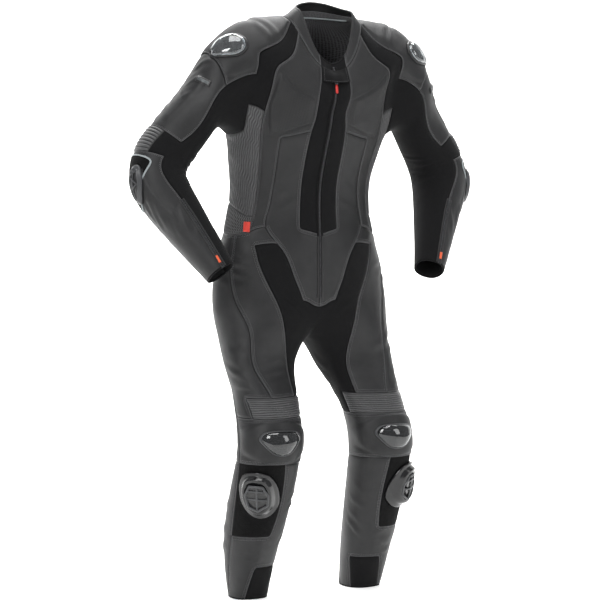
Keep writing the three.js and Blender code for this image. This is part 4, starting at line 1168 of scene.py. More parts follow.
def stitches(lines, pitch=STITCH_PITCH, length=STITCH_LENGTH, half_width=0.00055, height=0.0005):
    """Single stitches of thread along lines, each a small lozenge that dips into the leather at both ends."""
    verts, faces = [], []
    shape = [(-1, 0, -0.3), (1, 0, -0.3), (0, -1, 0.2), (0, 1, 0.2), (0, 0, 1), (0, 0, -0.6)]
    sides = [(0, 2, 4), (2, 1, 4), (1, 3, 4), (3, 0, 4), (2, 0, 5), (1, 2, 5), (3, 1, 5), (0, 3, 5)]
    for points, normals in lines:
        if len(points) < 3:
            continue
        points, normals = resampled(points, normals, pitch)
        along, across, up = frames_along(points, normals)
        for i in range(len(points)):
            base = len(verts)
            for a, b, c in shape:
                verts.append(points[i] + along[i] * a * length / 2 + across[i] * b * half_width + up[i] * c * height)
            faces.extend([base + k for k in face] for face in sides)
    return np.array(verts), faces


def trim(name, geometry, material):
    """A sewn detail that rides with the suit."""
    made = mesh_object(name, geometry[0], geometry[1], material)
    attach(made, "suit")
    return made


def bonded_thread(name, base):
    """Twisted polyester thread with a waxed bond, a little glossier than the leather."""
    made, tree, shader = new_material(name, Roughness=0.42, Sheen_Weight=0.1)
    twist = node(tree, "TexNoise", {"Vector": node(tree, "TexCoord").outputs["Object"], "Scale": 900.0})
    colour = node(tree, "Mix", {"Factor": twist.outputs["Fac"], "A": linear(base), "B": linear("626264")},
                  data_type="RGBA")
    tree.links.new(colour.outputs["Result"], shader.inputs["Base Color"])
    return made


grey_thread = bonded_thread("bonded_polyester_thread", "454547")
fold_lines, thread_lines = {}, {}
for piece in PIECES:
    kind = kind_of(piece)
    if kind not in RANK:
        continue
    region = "torso" if kind in ("collar", "chest", "abdomen", "shoulder", "back_upper", "back_lower",
                                 "seat") else \
        "sleeve" if kind in ("upper_arm", "forearm") else "leg"
    lapped = []
    for other in seam_edges[piece]:
        rank = RANK.get(kind_of(other), 0)
        ahead = RANK[kind] > rank or RANK[kind] == rank and piece < other
        if other != "open" and ahead:
            lapped.append(other)
    for run in borders(piece, lapped):
        if len(run) < 4:
            continue
        fold_lines.setdefault(region, []).append(line_on(piece, run, 0.0012, 0.0004))
        thread_lines.setdefault(region, []).append(line_on(piece, run, 0.0042, 0.0002))
        if kind in TWO_ROWS:
            thread_lines[region].append(line_on(piece, run, 0.0078, 0.0002))
for region in sorted(fold_lines):
    trim(region + "_folded_edges", bands(fold_lines[region], 0.0010, 0.0008), edge_highlight_leather)
    trim(region + "_topstitching", stitches(thread_lines[region]), grey_thread)


# Bindings: a rolled leather edge round the neck, and narrow knit tape round each cuff and hem.
neck_lines, tape_lines = [], []
for piece in PIECES:
    for run in borders(piece, ["open"]):
        if kind_of(piece) == "collar":
            neck_lines.append(line_on(piece, run, 0.0006, -0.0012))
        else:
            tape_lines.append(line_on(piece, run, 0.0012, -0.0009))
trim("neck_binding", bands(neck_lines, 0.0026, 0.0026, sides=10), full_leather)
trim("cuff_and_hem_tape", bands(tape_lines, 0.0030, 0.0022, sides=8), black_knit)


# Lining: an open knit mesh that shows in the neck, hung inside the shoulders and back on a grey piping.
LINING_DEPTH = 0.0050
LINING_WALL = 0.0008


def knit_lining():
    made, tree, shader = new_material("raschel_lining_mesh", Roughness=0.85, Sheen_Weight=0.3)
    cloth = node(tree, "UVMap", uv_map="cloth_mm")
    cells = node(tree, "TexVoronoi", {"Vector": cloth.outputs["UV"], "Scale": 0.26, "Randomness": 0.25},
                 voronoi_dimensions="2D")
    hole = node(tree, "MapRange", {"Value": cells.outputs["Distance"], "From Min": 0.2, "From Max": 0.42})
    colour = node(tree, "Mix", {"Factor": hole.outputs["Result"], "A": linear("1b1b1c"),
                                "B": linear("58585a")},
                  data_type="RGBA")
    bump = node(tree, "Bump", {"Height": hole.outputs["Result"], "Strength": 0.6, "Distance": 0.001})
    tree.links.new(colour.outputs["Result"], shader.inputs["Base Color"])
    tree.links.new(bump.outputs["Normal"], shader.inputs["Normal"])
    return made


def offset_shell(rows, top, bottom):
    """A thin wall made from the skin's own quads, from one height over the skin to another."""
    used, local = np.unique(QUADS[rows], return_inverse=True)
    local = local.reshape(-1, 4)
    uv = np.zeros((len(used), 2))
    uv[local] = PLACES[rows]
    count = len(used)
    upper = SKIN[used] + OUTWARD[used] * top(uv)[:, None]
    lower = SKIN[used] + OUTWARD[used] * bottom(uv)[:, None]
    faces = local.tolist() + (local[:, ::-1] + count).tolist()
    faces += [[a, a + count, b + count, b] for a, b in open_edges(local, count).items()]
    return np.concatenate([upper, lower]), faces, np.concatenate([uv, uv])


lined = [PIECES.index(p) for p in ("collar", "back_upper", "shoulder_left", "shoulder_right", "chest_left",
                                   "chest_right", "stretch_left", "stretch_right")]
row_of = PLACES[..., 1].max(axis=1)
first_row = PLACES[..., 1].min(axis=1)
rows = np.flatnonzero(np.isin(OWNER, lined) & (CHART == TORSO_CHART) & (row_of <= 4.5) & (first_row >= 0.5))
verts, faces, uv = offset_shell(rows, lambda uv: np.full(len(uv), -LINING_DEPTH),
                                lambda uv: np.full(len(uv), -LINING_DEPTH - LINING_WALL))
lining = mesh_object("neck_lining", verts, faces, knit_lining(), uv)
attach(lining, "suit")

pale_piping, tree, shader = new_material("grey_satin_piping", Roughness=0.45, Sheen_Weight=0.3)
glint = node(tree, "TexNoise", {"Vector": node(tree, "TexCoord").outputs["Object"], "Scale": 500.0})
tone = node(tree, "Mix", {"Factor": glint.outputs["Fac"], "A": linear("6a7072"), "B": linear("9aa2a4")},
            data_type="RGBA")
tree.links.new(tone.outputs["Result"], shader.inputs["Base Color"])
collar_run = borders("collar", ["back_upper"])
hang_lines = []
for run in collar_run:
    at, out = line_on("collar", run, 0.006, 0.0)
    sag = np.sin(np.linspace(0, math.pi, len(at)))[:, None] * np.array([0, 0, -0.002])
    hang_lines.append((at - out * (LINING_DEPTH + 0.0026) + sag, out))
trim("collar_piping", bands(hang_lines, 0.0020, 0.0020, sides=8), pale_piping)


# Front zip: a black coil chain on woven tape from the collar to the crotch, half hidden between two raised
# welts.
# Its teeth are 2.6 mm apart, and the chain sits a little over the seam that the two halves of the suit
# meet on.
CHAIN_LIFT = 0.0011
TOOTH_PITCH = 0.0026


def centre_line():
    """The front seam of the suit from the neck down to the crotch, as points and the directions out of it."""
    rows = np.flatnonzero((CHART == TORSO_CHART) & (SIDE == 1))
    on_seam = (PLACES[rows, :, 0] < 1e-6) & (PLACES[rows, :, 1] >= 0.5) & (PLACES[rows, :, 1] <= 13.5)
    places = PLACES[rows][on_seam]
    index = QUADS[rows][on_seam]
    _, first = np.unique(places[:, 1].round(4), return_index=True)
    return SKIN[index[first]], OUTWARD[index[first]]


def teeth(points, normals, half, lift, pitch=TOOTH_PITCH):
    """Zip teeth as small blocks with sloped sides, reaching over the middle from each side in turn."""
    points, normals = resampled(points, normals, pitch / 2)
    along, across, up = frames_along(points, normals)
    verts, faces = [], []
    block = [(0, -1, -1, 0), (1, -1, -1, 0), (1, 1, -1, 0), (0, 1, -1, 0), (0.1, -0.7, -0.7, 1),
             (0.9, -0.7, -0.7, 1),
             (0.9, 0.7, -0.7, 1), (0.1, 0.7, -0.7, 1)]
    quads = [(0, 3, 2, 1), (4, 5, 6, 7), (0, 1, 5, 4), (1, 2, 6, 5), (2, 3, 7, 6), (3, 0, 4, 7)]
    for i in range(len(points)):
        sign = 1 if i % 2 else -1
        base = len(verts)
        for reach, run, _, top in block:
            side = sign * (reach * half * 1.2 - half * 0.2)
            verts.append(points[i] + across[i] * side + along[i] * run * pitch * 0.21 + up[i] * (lift + top * 0.0011))
        turn = 1 if sign > 0 else -1
        faces.extend([base + k for k in face][::-turn] for face in quads)
    return np.array(verts), faces


def beside(points, normals, offset, lift):
    _, across, up = frames_along(points, normals)
    return points + across * offset + up * lift, normals


def woven_tape():
    made, tree, shader = new_material("woven_zip_tape", Roughness=0.75)
    ribs = node(tree, "TexWave", {"Vector": node(tree, "TexCoord").outputs["Object"], "Scale": 160.0,
                                  "Distortion": 1.5},
                bands_direction="Z")
    colour = node(tree, "Mix", {"Factor": ribs.outputs["Fac"], "A": linear("070707"),
                                "B": linear("131314")}, data_type="RGBA")
    bump = node(tree, "Bump", {"Height": ribs.outputs["Fac"], "Strength": 0.4, "Distance": 0.0005})
    tree.links.new(colour.outputs["Result"], shader.inputs["Base Color"])
    tree.links.new(bump.outputs["Normal"], shader.inputs["Normal"])
    return made


def black_nickel():
    """Zinc alloy with black nickel plating, brighter where it is rubbed."""
    made, tree, shader = new_material("black_nickel_zinc", Metallic=1.0)
    rub = node(tree, "TexNoise", {"Vector": node(tree, "TexCoord").outputs["Object"], "Scale": 300.0,
                                  "Detail": 3.0})
    colour = node(tree, "Mix", {"Factor": rub.outputs["Fac"], "A": linear("2c2c2e"), "B": linear("6b6b6f")},
                  data_type="RGBA")
    dull = node(tree, "MapRange", {"Value": rub.outputs["Fac"], "To Min": 0.22, "To Max": 0.42})
    tree.links.new(colour.outputs["Result"], shader.inputs["Base Color"])
    tree.links.new(dull.outputs["Result"], shader.inputs["Roughness"])
    return made


zip_points, zip_normals = centre_line()
zip_points = smoothed(zip_points, 3)
tape = woven_tape()
nickel = black_nickel()
zip_tape_band = trim("zip_tape_band", bands([beside(zip_points, zip_normals, 0, 0.0006)], 0.0062, 0.0006,
                                            sides=8), tape)
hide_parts("zip")
trim("zip_teeth", teeth(zip_points, zip_normals, 0.0021, CHAIN_LIFT), nickel)
welts = [beside(zip_points, zip_normals, side * 0.0056, 0.0011) for side in (-1, 1)]
split = int(len(zip_points) * 9.6 / 13)
trim("zip_welts_knit", bands([(p[:split + 1], n[:split + 1]) for p, n in welts], 0.0021, 0.0017, sides=8),
     black_knit)
trim("zip_welts_leather", bands([(p[split:], n[split:]) for p, n in welts], 0.0021, 0.0017, sides=8),
     full_leather)


# Flap: a doubled rectangle of stretch cloth over the zip's top, held by hook tape, with a stitched edge.
FLAP_WALL = 0.0016


def flap_rise(uv):
    bulge = 2.8 + 4.4 * smoothstep(uv[:, 1], 1, 1.6)
    return 0.001 * (1.4 + bulge * (1 - smoothstep(uv[:, 0], 0.3, 1)))


flap_owner = [PIECES.index("zip_panel_left"), PIECES.index("zip_panel_right")]
rows = np.flatnonzero(np.isin(OWNER, flap_owner) & (first_row >= 1 - 1e-6) & (row_of <= 2 + 1e-6))
verts, faces, uv = offset_shell(rows, lambda uv: flap_rise(uv) + FLAP_WALL, flap_rise)
flap = mesh_object("flap_cloth", verts, faces, black_knit, uv)
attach(flap, "suit")
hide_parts("zip_flap")
PANELS["flap"] = {"tree": BVHTree.FromPolygons(verts.tolist(), faces)}
hem_lines = []
HEM_SIDE, HEM_TOP, HEM_BOTTOM = 0.9, 1.07, 1.93
for side in (1, -1):
    down_left = [skin_index(TORSO_CHART, side, HEM_SIDE, v) for v in np.linspace(HEM_TOP, HEM_BOTTOM, 18)]
    along_bottom = [skin_index(TORSO_CHART, side, u, HEM_BOTTOM) for u in np.linspace(0.0, HEM_SIDE, 12)]
    for run in (down_left, along_bottom):
        lifted = SKIN[run] + OUTWARD[run] * 0.02
        hits = [PANELS["flap"]["tree"].ray_cast(Vector(p), Vector(-n)) for p,
                n in zip(lifted, OUTWARD[run])]
        kept = [i for i, hit in enumerate(hits) if hit[0] is not None]
        hem_lines.append((np.array([hits[i][0] for i in kept]), OUTWARD[[run[i] for i in kept]]))
trim("flap_stitching", stitches(hem_lines), grey_thread)


# Zip slider and pull: a small die-cast slider and a red moulded pull that hangs from it on a pin.
def loft(frame, rings):
    """A solid from outlines one above the other. Each ring is a list of [across, down] in millimetres and a height."""
    at, across, down, up = frame
    verts, faces = [], []
    count = len(rings[0][0])
    for outline, height in rings:
        for x, y in outline:
            verts.append(at + 0.001 * (across * x + down * y + up * height))
    for r in range(len(rings) - 1):
        for k in range(count):
            a, b = r * count + k, r * count + (k + 1) % count
            faces.append([a, b, b + count, a + count])
    faces.append(list(range(count))[::-1])
    faces.append([(len(rings) - 1) * count + k for k in range(count)])
    return np.array(verts), faces


def scaled(outline, size):
    return [(x * size, y * size) for x, y in outline]


def grown(outline, by):
    """The outline moved out by a distance in millimetres."""
    middle = np.mean(outline, axis=0)
    moved = []
    for x, y in outline:
        away = np.array([x, y]) - middle
        moved.append(tuple(np.array([x, y]) + away / np.linalg.norm(away) * by))
    return moved


def area_sign(outline):
    return sum(x0 * y1 - x1 * y0 for (x0, y0), (x1, y1) in zip(outline, outline[1:] + outline[:1]))


zip_foot = skin_index(TORSO_CHART, 1, 0, 2)
zip_up = OUTWARD[zip_foot]
zip_down = SKIN[skin_index(TORSO_CHART, 1, 0, 2.12)] - SKIN[skin_index(TORSO_CHART, 1, 0, 1.88)]
zip_down -= zip_up * (zip_down @ zip_up)
zip_down /= np.linalg.norm(zip_down)
zip_frame = (SKIN[zip_foot], np.cross(zip_down, zip_up), zip_down, zip_up)
SLIDER_OUTLINE = [(-3, -14), (3, -14), (4.6, -9), (3.6, 1.5), (-3.6, 1.5), (-4.6, -9)][::-1]
PULL_OUTLINE = [(-1.6, 2.3), (1.6, 2.3), (3, 6), (3, 23), (1.8, 25), (-1.8, 25), (-3, 23), (-3, 6)][::-1]
rings = [(scaled(SLIDER_OUTLINE, 0.9), 2.4), (SLIDER_OUTLINE, 2.9), (SLIDER_OUTLINE, 4.4),
         (grown(SLIDER_OUTLINE, -0.6), 5.2)]
if area_sign(SLIDER_OUTLINE) < 0:
    rings = [(outline[::-1], height) for outline, height in rings]
slider = mesh_object("zip_slider_body", *loft(zip_frame, rings), nickel)
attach(slider, "suit")
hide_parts("zip_slider")


def moulded(name, dark, light, rough, scale=400.0):
    """A moulded plastic or rubber part with a faint texture from its mould."""
    made, tree, shader = new_material(name, IOR=1.5, Coat_Weight=0.15, Coat_Roughness=0.25)
    spark = node(tree, "TexNoise", {"Vector": node(tree, "TexCoord").outputs["Object"], "Scale": scale,
                                    "Detail": 2.0})
    colour = node(tree, "Mix", {"Factor": spark.outputs["Fac"], "A": linear(dark), "B": linear(light)},
                  data_type="RGBA")
    dull = node(tree, "MapRange", {"Value": spark.outputs["Fac"], "To Min": rough - 0.05,
                                   "To Max": rough + 0.08})
    bump = node(tree, "Bump", {"Height": spark.outputs["Fac"], "Strength": 0.12, "Distance": 0.0003})
    tree.links.new(colour.outputs["Result"], shader.inputs["Base Color"])
    tree.links.new(dull.outputs["Result"], shader.inputs["Roughness"])
    tree.links.new(bump.outputs["Normal"], shader.inputs["Normal"])
    return made


red_rubber = moulded("red_silicone_rubber", "a81612", "c2241c", 0.45)
rings = [(scaled(PULL_OUTLINE, 0.97), 3.0), (PULL_OUTLINE, 3.3), (PULL_OUTLINE, 4.5),
         (grown(PULL_OUTLINE, -0.5), 4.8)]
if area_sign(PULL_OUTLINE) < 0:
    rings = [(outline[::-1], height) for outline, height in rings]
pull = mesh_object("zip_pull_tab", *loft(zip_frame, rings), red_rubber)
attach(pull, "pull")
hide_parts("zip_pull")


# Hard parts: what protects the shoulders, elbows and knees. Each sits on its panel, so its rim follows the
# cloth.
# The outlines are the CAD's own, in millimetres from the part's middle, [towards the back or inside, up].
cover_points, cover_quads, cover_count = [], [], 0
for made in PANELS.values():
    if "outer" in made:
        cover_points.append(made["outer"])
        cover_quads.append(made["quads"] + cover_count)
        cover_count += len(made["outer"])
cover = BVHTree.FromPolygons(np.concatenate(cover_points).tolist(), np.concatenate(cover_quads).tolist())


def on_cover(point, direction):
    hit = cover.ray_cast(Vector(point + direction * 0.07), Vector(-direction), 0.14)
    return None if hit[0] is None else np.array(hit[0])


def rounded_outline(outline, rounds=3):
    """The outline with its corners cut again and again, so that its sides stay straight and its corners turn softly."""
    points = np.array(outline, float)
    for _ in range(rounds):
        ahead = np.roll(points, -1, axis=0)
        points = np.stack([0.78 * points + 0.22 * ahead, 0.22 * points + 0.78 * ahead],
                          axis=1).reshape(-1, 2)
    return points


class Seat:
    """Where a hard part sits: its middle on the panel, its directions and the panel's height under each place."""

    def __init__(self, centre, direction, side, outline, rounds=3):
        x, y, z = centre
        shift = stance((0, 0, z))[0]
        self.up = np.array([side * direction[0], direction[1], direction[2]])
        self.up /= np.linalg.norm(self.up)
        self.across = np.array([-self.up[1], self.up[0], 0])
        self.across /= np.linalg.norm(self.across)
        self.above = np.cross(self.up, self.across)
        self.middle = on_cover(np.array([side * x + shift, y, z]) / 1000, self.up)
        self.side = side
        outline = outline[::-1] if side > 0 else [(-a, b) for a, b in outline]
        self.outline = rounded_outline(outline, rounds)
        self.rim = np.array([self.floor(x, y) for x, y in self.outline])
        self.core = self.floor(0, 0)
        self.angles = np.arctan2(self.outline[:, 1], self.outline[:, 0])
        self.radii = np.linalg.norm(self.outline, axis=1)

    def place(self, x, y, height):
        return self.middle + 0.001 * (self.across * x + self.above * y + self.up * height)

    def floor(self, x, y):
        hit = on_cover(self.place(x, y, 0), self.up)
        return 0.0 if hit is None else float((hit - self.middle) @ self.up) * 1000

    def share(self, x, y):
        """How far a place is from the middle towards the outline, from 0 to 1."""
        turn = math.atan2(y, x)
        gaps = np.abs((self.angles - turn + math.pi) % (2 * math.pi) - math.pi)
        nearest = np.argsort(gaps)[:2]
        radius = np.average(self.radii[nearest], weights=1 / (gaps[nearest] + 1e-6))
        return math.hypot(x, y) / radius

    def ring(self, size, height):
        base = self.core + (self.rim - self.core) * size * size
        return [self.place(x * size, y * size, b + height) for (x, y), b in zip(self.outline, base)]

    def at(self, x, y, profile, drop):
        """A place on a part with this profile of (size, height), sunk by drop."""
        size = min(self.share(x, y), 1)
        sizes = [s for s, _ in profile][::-1]
        heights = [h for _, h in profile][::-1]
        index = min(range(len(self.outline)), key=lambda i: abs((self.angles[i] - math.atan2(y, x) + math.pi)
                                                                % (2 * math.pi) - math.pi))
        base = self.core + (self.rim[index] - self.core) * size * size
        return self.place(x, y, base + np.interp(size, sizes, heights) - drop)


def moulding(seat, rings):
    """A closed solid on its panel: rings of (size, height) from the outer foot up and in to the middle."""
    verts, faces = [], []
    count = len(seat.outline)
    for size, height in [(0.35, 0.3), (0.7, 0.3)] + rings:
        verts.extend(seat.ring(size, height))
    total = len(rings) + 2
    for r in range(total - 1):
        for k in range(count):
            a, b = r * count + k, r * count + (k + 1) % count
            faces.append([a, b, b + count, a + count])
    under = len(verts)
    verts.append(seat.place(0, 0, seat.core + 0.3))
    verts.append(seat.place(0, 0, seat.core + rings[-1][1]))
    for k in range(count):
        ahead = (k + 1) % count
        faces.append([ahead, k, under])
        faces.append([(total - 1) * count + k, (total - 1) * count + ahead, under + 1])
    return np.array(verts), faces


def clear_dome(seat, rings, wall):
    """A thin moulded window: an outer and an inner face joined round its foot."""
    verts, faces = [], []
    count = len(seat.outline)
    for size, height in rings:
        verts.extend(seat.ring(size, height))
    inner_start = len(verts)
    for size, height in rings:
        verts.extend(seat.ring(size * (1 - 0.03), height - wall))
    total = len(rings)
    for r in range(total - 1):
        for k in range(count):
            a, b = r * count + k, r * count + (k + 1) % count
            faces.append([a, b, b + count, a + count])
            faces.append([inner_start + c for c in (a + count, b + count, b, a)])
    top = len(verts)
    verts.append(seat.place(0, 0, seat.core + rings[-1][1] + 0.4))
    verts.append(seat.place(0, 0, seat.core + rings[-1][1] + 0.4 - wall))
    for k in range(count):
        ahead = (k + 1) % count
        faces.append([(total - 1) * count + k, (total - 1) * count + ahead, top])
        faces.append([inner_start + (total - 1) * count + ahead, inner_start + (total - 1) * count + k,
                      top + 1])
        faces.append([ahead, k, inner_start + k, inner_start + ahead])
    return np.array(verts), faces


def struts(seat, paths, profile, drop, half_width, half_height):
    """Moulded bars that follow a dome's form. paths are lists of [across, up] in the left part's outline."""
    lines = []
    for path in paths:
        path = np.array(path, float) * ((1, 1) if seat.side > 0 else (-1, 1))
        steps = np.linspace(0, len(path) - 1, 7 * (len(path) - 1) + 1)
        places = np.stack([np.interp(steps, range(len(path)), path[:, a]) for a in (0, 1)], axis=1)
        lines.append((np.array([seat.at(x, y, profile, drop) for x, y in places]),
                      np.tile(seat.up, (len(places), 1))))
    return bands(lines, half_width, half_height, sides=8)


def smoked_window(name, tint, rough):
    """Polycarbonate, injection moulded clear with a smoke tint, and polished."""
    made, tree, shader = new_material(name, IOR=1.58, Transmission_Weight=0.94, Roughness=rough,
                                      Coat_Weight=0.4,
                                      Coat_Roughness=0.03)
    scuff = node(tree, "TexNoise", {"Vector": node(tree, "TexCoord").outputs["Object"], "Scale": 90.0,
                                    "Detail": 4.0})
    colour = node(tree, "Mix", {"Factor": scuff.outputs["Fac"], "A": linear(tint), "B": linear(tint)},
                  data_type="RGBA")
    tree.links.new(colour.outputs["Result"], shader.inputs["Base Color"])
    return made


def bright_chrome(name, dark, light, rough):
    """ABS with a vacuum-deposited mirror coat."""
    made, tree, shader = new_material(name, Metallic=1.0)
    haze = node(tree, "TexNoise", {"Vector": node(tree, "TexCoord").outputs["Object"], "Scale": 45.0,
                                   "Detail": 3.0})
    colour = node(tree, "Mix", {"Factor": haze.outputs["Fac"], "A": linear(dark), "B": linear(light)},
                  data_type="RGBA")
    dull = node(tree, "MapRange", {"Value": haze.outputs["Fac"], "To Min": rough, "To Max": rough + 0.1})
    tree.links.new(colour.outputs["Result"], shader.inputs["Base Color"])
    tree.links.new(dull.outputs["Result"], shader.inputs["Roughness"])
    return made


clear_smoke = smoked_window("clear_smoked_polycarbonate", "b9bdbf", 0.03)
dark_smoke = smoked_window("dark_smoked_polycarbonate", "54585a", 0.03)
silver_mirror = bright_chrome("silver_mirror_coat", "a9adb0", "d8dcde", 0.07)
black_mirror = bright_chrome("black_mirror_coat", "101112", "1d1f20", 0.16)
black_abs = moulded("black_moulded_abs", "0f0f10", "19191a", 0.32)
black_gloss = moulded("black_polished_polyurethane", "0b0b0c", "121213", 0.12, scale=120.0)
grey_satin = moulded("grey_satin_polyurethane", "2d2e30", "3c3d3f", 0.38)


# Shoulder sliders: a black bezel, a mirror-coated dish with ribs, and a clear smoked dome clipped over
# them.
SHOULDER_OUTLINE = [(-46, 6), (-36, 26), (-14, 36), (12, 34), (34, 20), (46, 0), (46, -20), (32, -30),
                    (6, -30), (-22, -26),
                    (-40, -12)]
SHOULDER_DOME = [(0.9, 3.2), (0.885, 6.5), (0.84, 9.2), (0.74, 11.6), (0.58, 13.0), (0.38, 13.9),
                 (0.18, 14.3)]
SHOULDER_RIBS = [[(-34, 4), (-12, 10), (12, 7), (38, -10)], [(-16, 30), (-10, 10), (-20, -22)],
                 [(14, 29), (12, 7), (8, -25)],
                 [(-34, 20), (-14, 29), (12, 28), (32, 15), (40, -6)]]
for word, side in SIDES:
    seat = Seat((250, -48, -27), (0.62, -0.64, 0.45), side, SHOULDER_OUTLINE)
    bezel = trim("shoulder_bezel_" + word, moulding(seat,
                                                    [(1.0, 0.3), (1.0, 2.6), (0.985, 3.8), (0.95, 4.6),
                                                     (0.915, 4.5),
                                                          (0.9, 3.2), (0.6, 3.0)]), black_abs)
    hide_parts("shoulder_slider_" + word)
    trim("shoulder_dish_" + word, moulding(seat,
                                           [(0.86, 3.1), (0.8, 4.0), (0.66, 5.2), (0.4, 5.8), (0.2, 6.0)]),
         black_mirror)
    trim("shoulder_mirror_" + word, moulding(seat,
                                             [(0.89, 3.1), (0.885, 5.0), (0.86, 6.4), (0.8, 6.9),
                                              (0.76, 6.3),
                                                   (0.75, 3.4), (0.6, 3.1)]), silver_mirror)
    trim("shoulder_ribs_" + word, struts(seat, SHOULDER_RIBS, SHOULDER_DOME, 3.2, 0.0032, 0.0014),
         black_abs)
    trim("shoulder_dome_" + word, clear_dome(seat, SHOULDER_DOME, 1.5), clear_smoke)


# Knee caps: wide shallow domes of darker smoked plastic over a black ribbed cup, in a raised leather
# surround.
KNEE_CAP_OUTLINE = [(-54, 10), (-44, 26), (-20, 30), (20, 30), (44, 26), (54, 10), (40, -8), (22, -25),
                    (0, -30), (-22, -25),
                    (-40, -8)]
KNEE_DOME = [(0.92, 2.2), (0.905, 4.4), (0.86, 6.4), (0.74, 8.4), (0.56, 9.8), (0.34, 10.6), (0.16, 10.9)]
KNEE_RIBS = [[(-40, 16), (-14, 12), (14, 12), (40, 16)], [(-24, 22), (-10, 12), (-10, -20)],
             [(24, 22), (10, 12), (10, -20)]]
for word, side in SIDES:
    seat = Seat((151, -112, -934), (0.08, -1, 0.02), side, KNEE_CAP_OUTLINE)
    bezel = trim("knee_bezel_" + word, moulding(seat,
                                                [(1.0, 0.3), (1.0, 2.0), (0.985, 3.0), (0.955, 3.4),
                                                 (0.93, 3.2),
                                                      (0.92, 2.2), (0.6, 2.0)]), grey_satin)
    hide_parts("knee_cap_" + word)
    trim("knee_dish_" + word, moulding(seat, [(0.9, 2.2), (0.88, 3.2), (0.7, 4.6), (0.5, 5.4),
                                              (0.25, 5.8)]),
         black_mirror)
    trim("knee_cap_ribs_" + word, struts(seat, KNEE_RIBS, KNEE_DOME, 2.6, 0.0030, 0.0010), black_abs)
    trim("knee_dome_" + word, clear_dome(seat, KNEE_DOME, 1.3), dark_smoke)


# Knee sliders: thick pucks of black polyurethane with a wide flange, a bevelled face and a recessed ribbed
# window.
KNEE_SLIDER_OUTLINE = [(-30, 52), (6, 58), (34, 50), (46, 24), (44, -10), (30, -38), (4, -58), (-22, -54),
                       (-42, -30),
                       (-46, 4), (-42, 32)]
SLIDER_FACE = [(0.8, 18.6), (0.7, 21.2), (0.6, 21.8), (0.3, 22.2)]
WINDOW_FRAME = [[(-18, 24), (14, 26), (26, 4), (18, -24), (-4, -34), (-24, -22), (-28, 2), (-18, 24)]]
WINDOW_BARS = [[(-24, 12), (20, 14)], [(-27, -8), (24, -4)], [(-4, 25), (-2, -32)]]
for word, side in SIDES:
    seat = Seat((195, -75, -1056), (0.68, -0.72, -0.1), side, KNEE_SLIDER_OUTLINE, rounds=2)
    puck = trim("knee_puck_" + word, moulding(seat, [
        (1.0, 0.4), (1.0, 7.6), (0.99, 8.6), (0.97, 9.2), (0.87, 9.8), (0.85, 10.4), (0.835, 12.0),
        (0.76, 19.4), (0.745, 20.3),
        (0.72, 20.8), (0.64, 21.4), (0.625, 21.2), (0.61, 19.2), (0.3, 18.8)]), black_gloss)
    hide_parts("knee_slider_" + word)
    trim("knee_window_frame_" + word, struts(seat, WINDOW_FRAME, SLIDER_FACE, 1.0, 0.0028, 0.0020),
         grey_satin)
    trim("knee_window_bars_" + word, struts(seat, WINDOW_BARS, SLIDER_FACE, 1.6, 0.0022, 0.0016),
         grey_satin)


# Elbow sliders: slim bevelled pucks on a patch of loop pile, which a grey piping frames on the sleeve.
ELBOW_OUTLINE = [(0, 46), (13, 40), (20, 22), (21, -4), (16, -28), (7, -46), (-7, -46), (-16, -28),
                 (-21, -4), (-20, 22),
                 (-13, 40)]
ELBOW_FACE = [(0.9, 9.6), (0.8, 11.0), (0.5, 12.0), (0.2, 12.2)]
ELBOW_BARS = [[(-12, 34), (12, 20), (-14, 2), (13, -16), (-8, -34)], [(0, 38), (0, -40)]]
PATCH_PLACES = [(-0.75, 5.3), (1.1, 5.12), (2.7, 5.16), (3.1, 5.7), (2.7, 6.3), (1.9, 6.8), (1.2, 6.7),
                (0.3, 6.1)]
PATCH_MIDDLE = np.array([1.3, 5.9])


def sleeve_point(side, u, v, lift):
    """A point over the sleeve's skin at a place of its chart, blended from the four corners round it."""
    cell = 2 ** ROUNDS
    left, top = math.floor(u % 10 * cell) / cell, math.floor(v * cell) / cell
    s, t = u % 10 * cell - left * cell, (v - top) * cell
    corners = [(left, top, (1 - s) * (1 - t)), (left + 1 / cell, top, s * (1 - t)),
               (left, top + 1 / cell, (1 - s) * t), (left + 1 / cell, top + 1 / cell, s * t)]
    found = [(skin_index(ARM_CHART, side, a, b), weight) for a, b, weight in corners]
    at = sum(SKIN[i] * weight for i, weight in found)
    out = sum(OUTWARD[i] * weight for i, weight in found)
    return at + out * lift, out / np.linalg.norm(out)


def laid_patch(side, outline, middle, rings):
    """A patch that follows the sleeve: rings of (size, lift) from its underside's middle out, up and back in."""
    verts, faces = [], []
    count = len(outline)
    for size, lift in rings:
        for place in outline:
            verts.append(sleeve_point(side, *(middle + (place - middle) * size), lift)[0])
    for r in range(len(rings) - 1):
        for k in range(count):
            a, b = r * count + k, r * count + (k + 1) % count
            faces.append([a, b, b + count, a + count])
    faces.append(list(range(count))[::-1])
    faces.append([(len(rings) - 1) * count + k for k in range(count)])
    if side < 0:
        faces = [face[::-1] for face in faces]
    return np.array(verts), faces


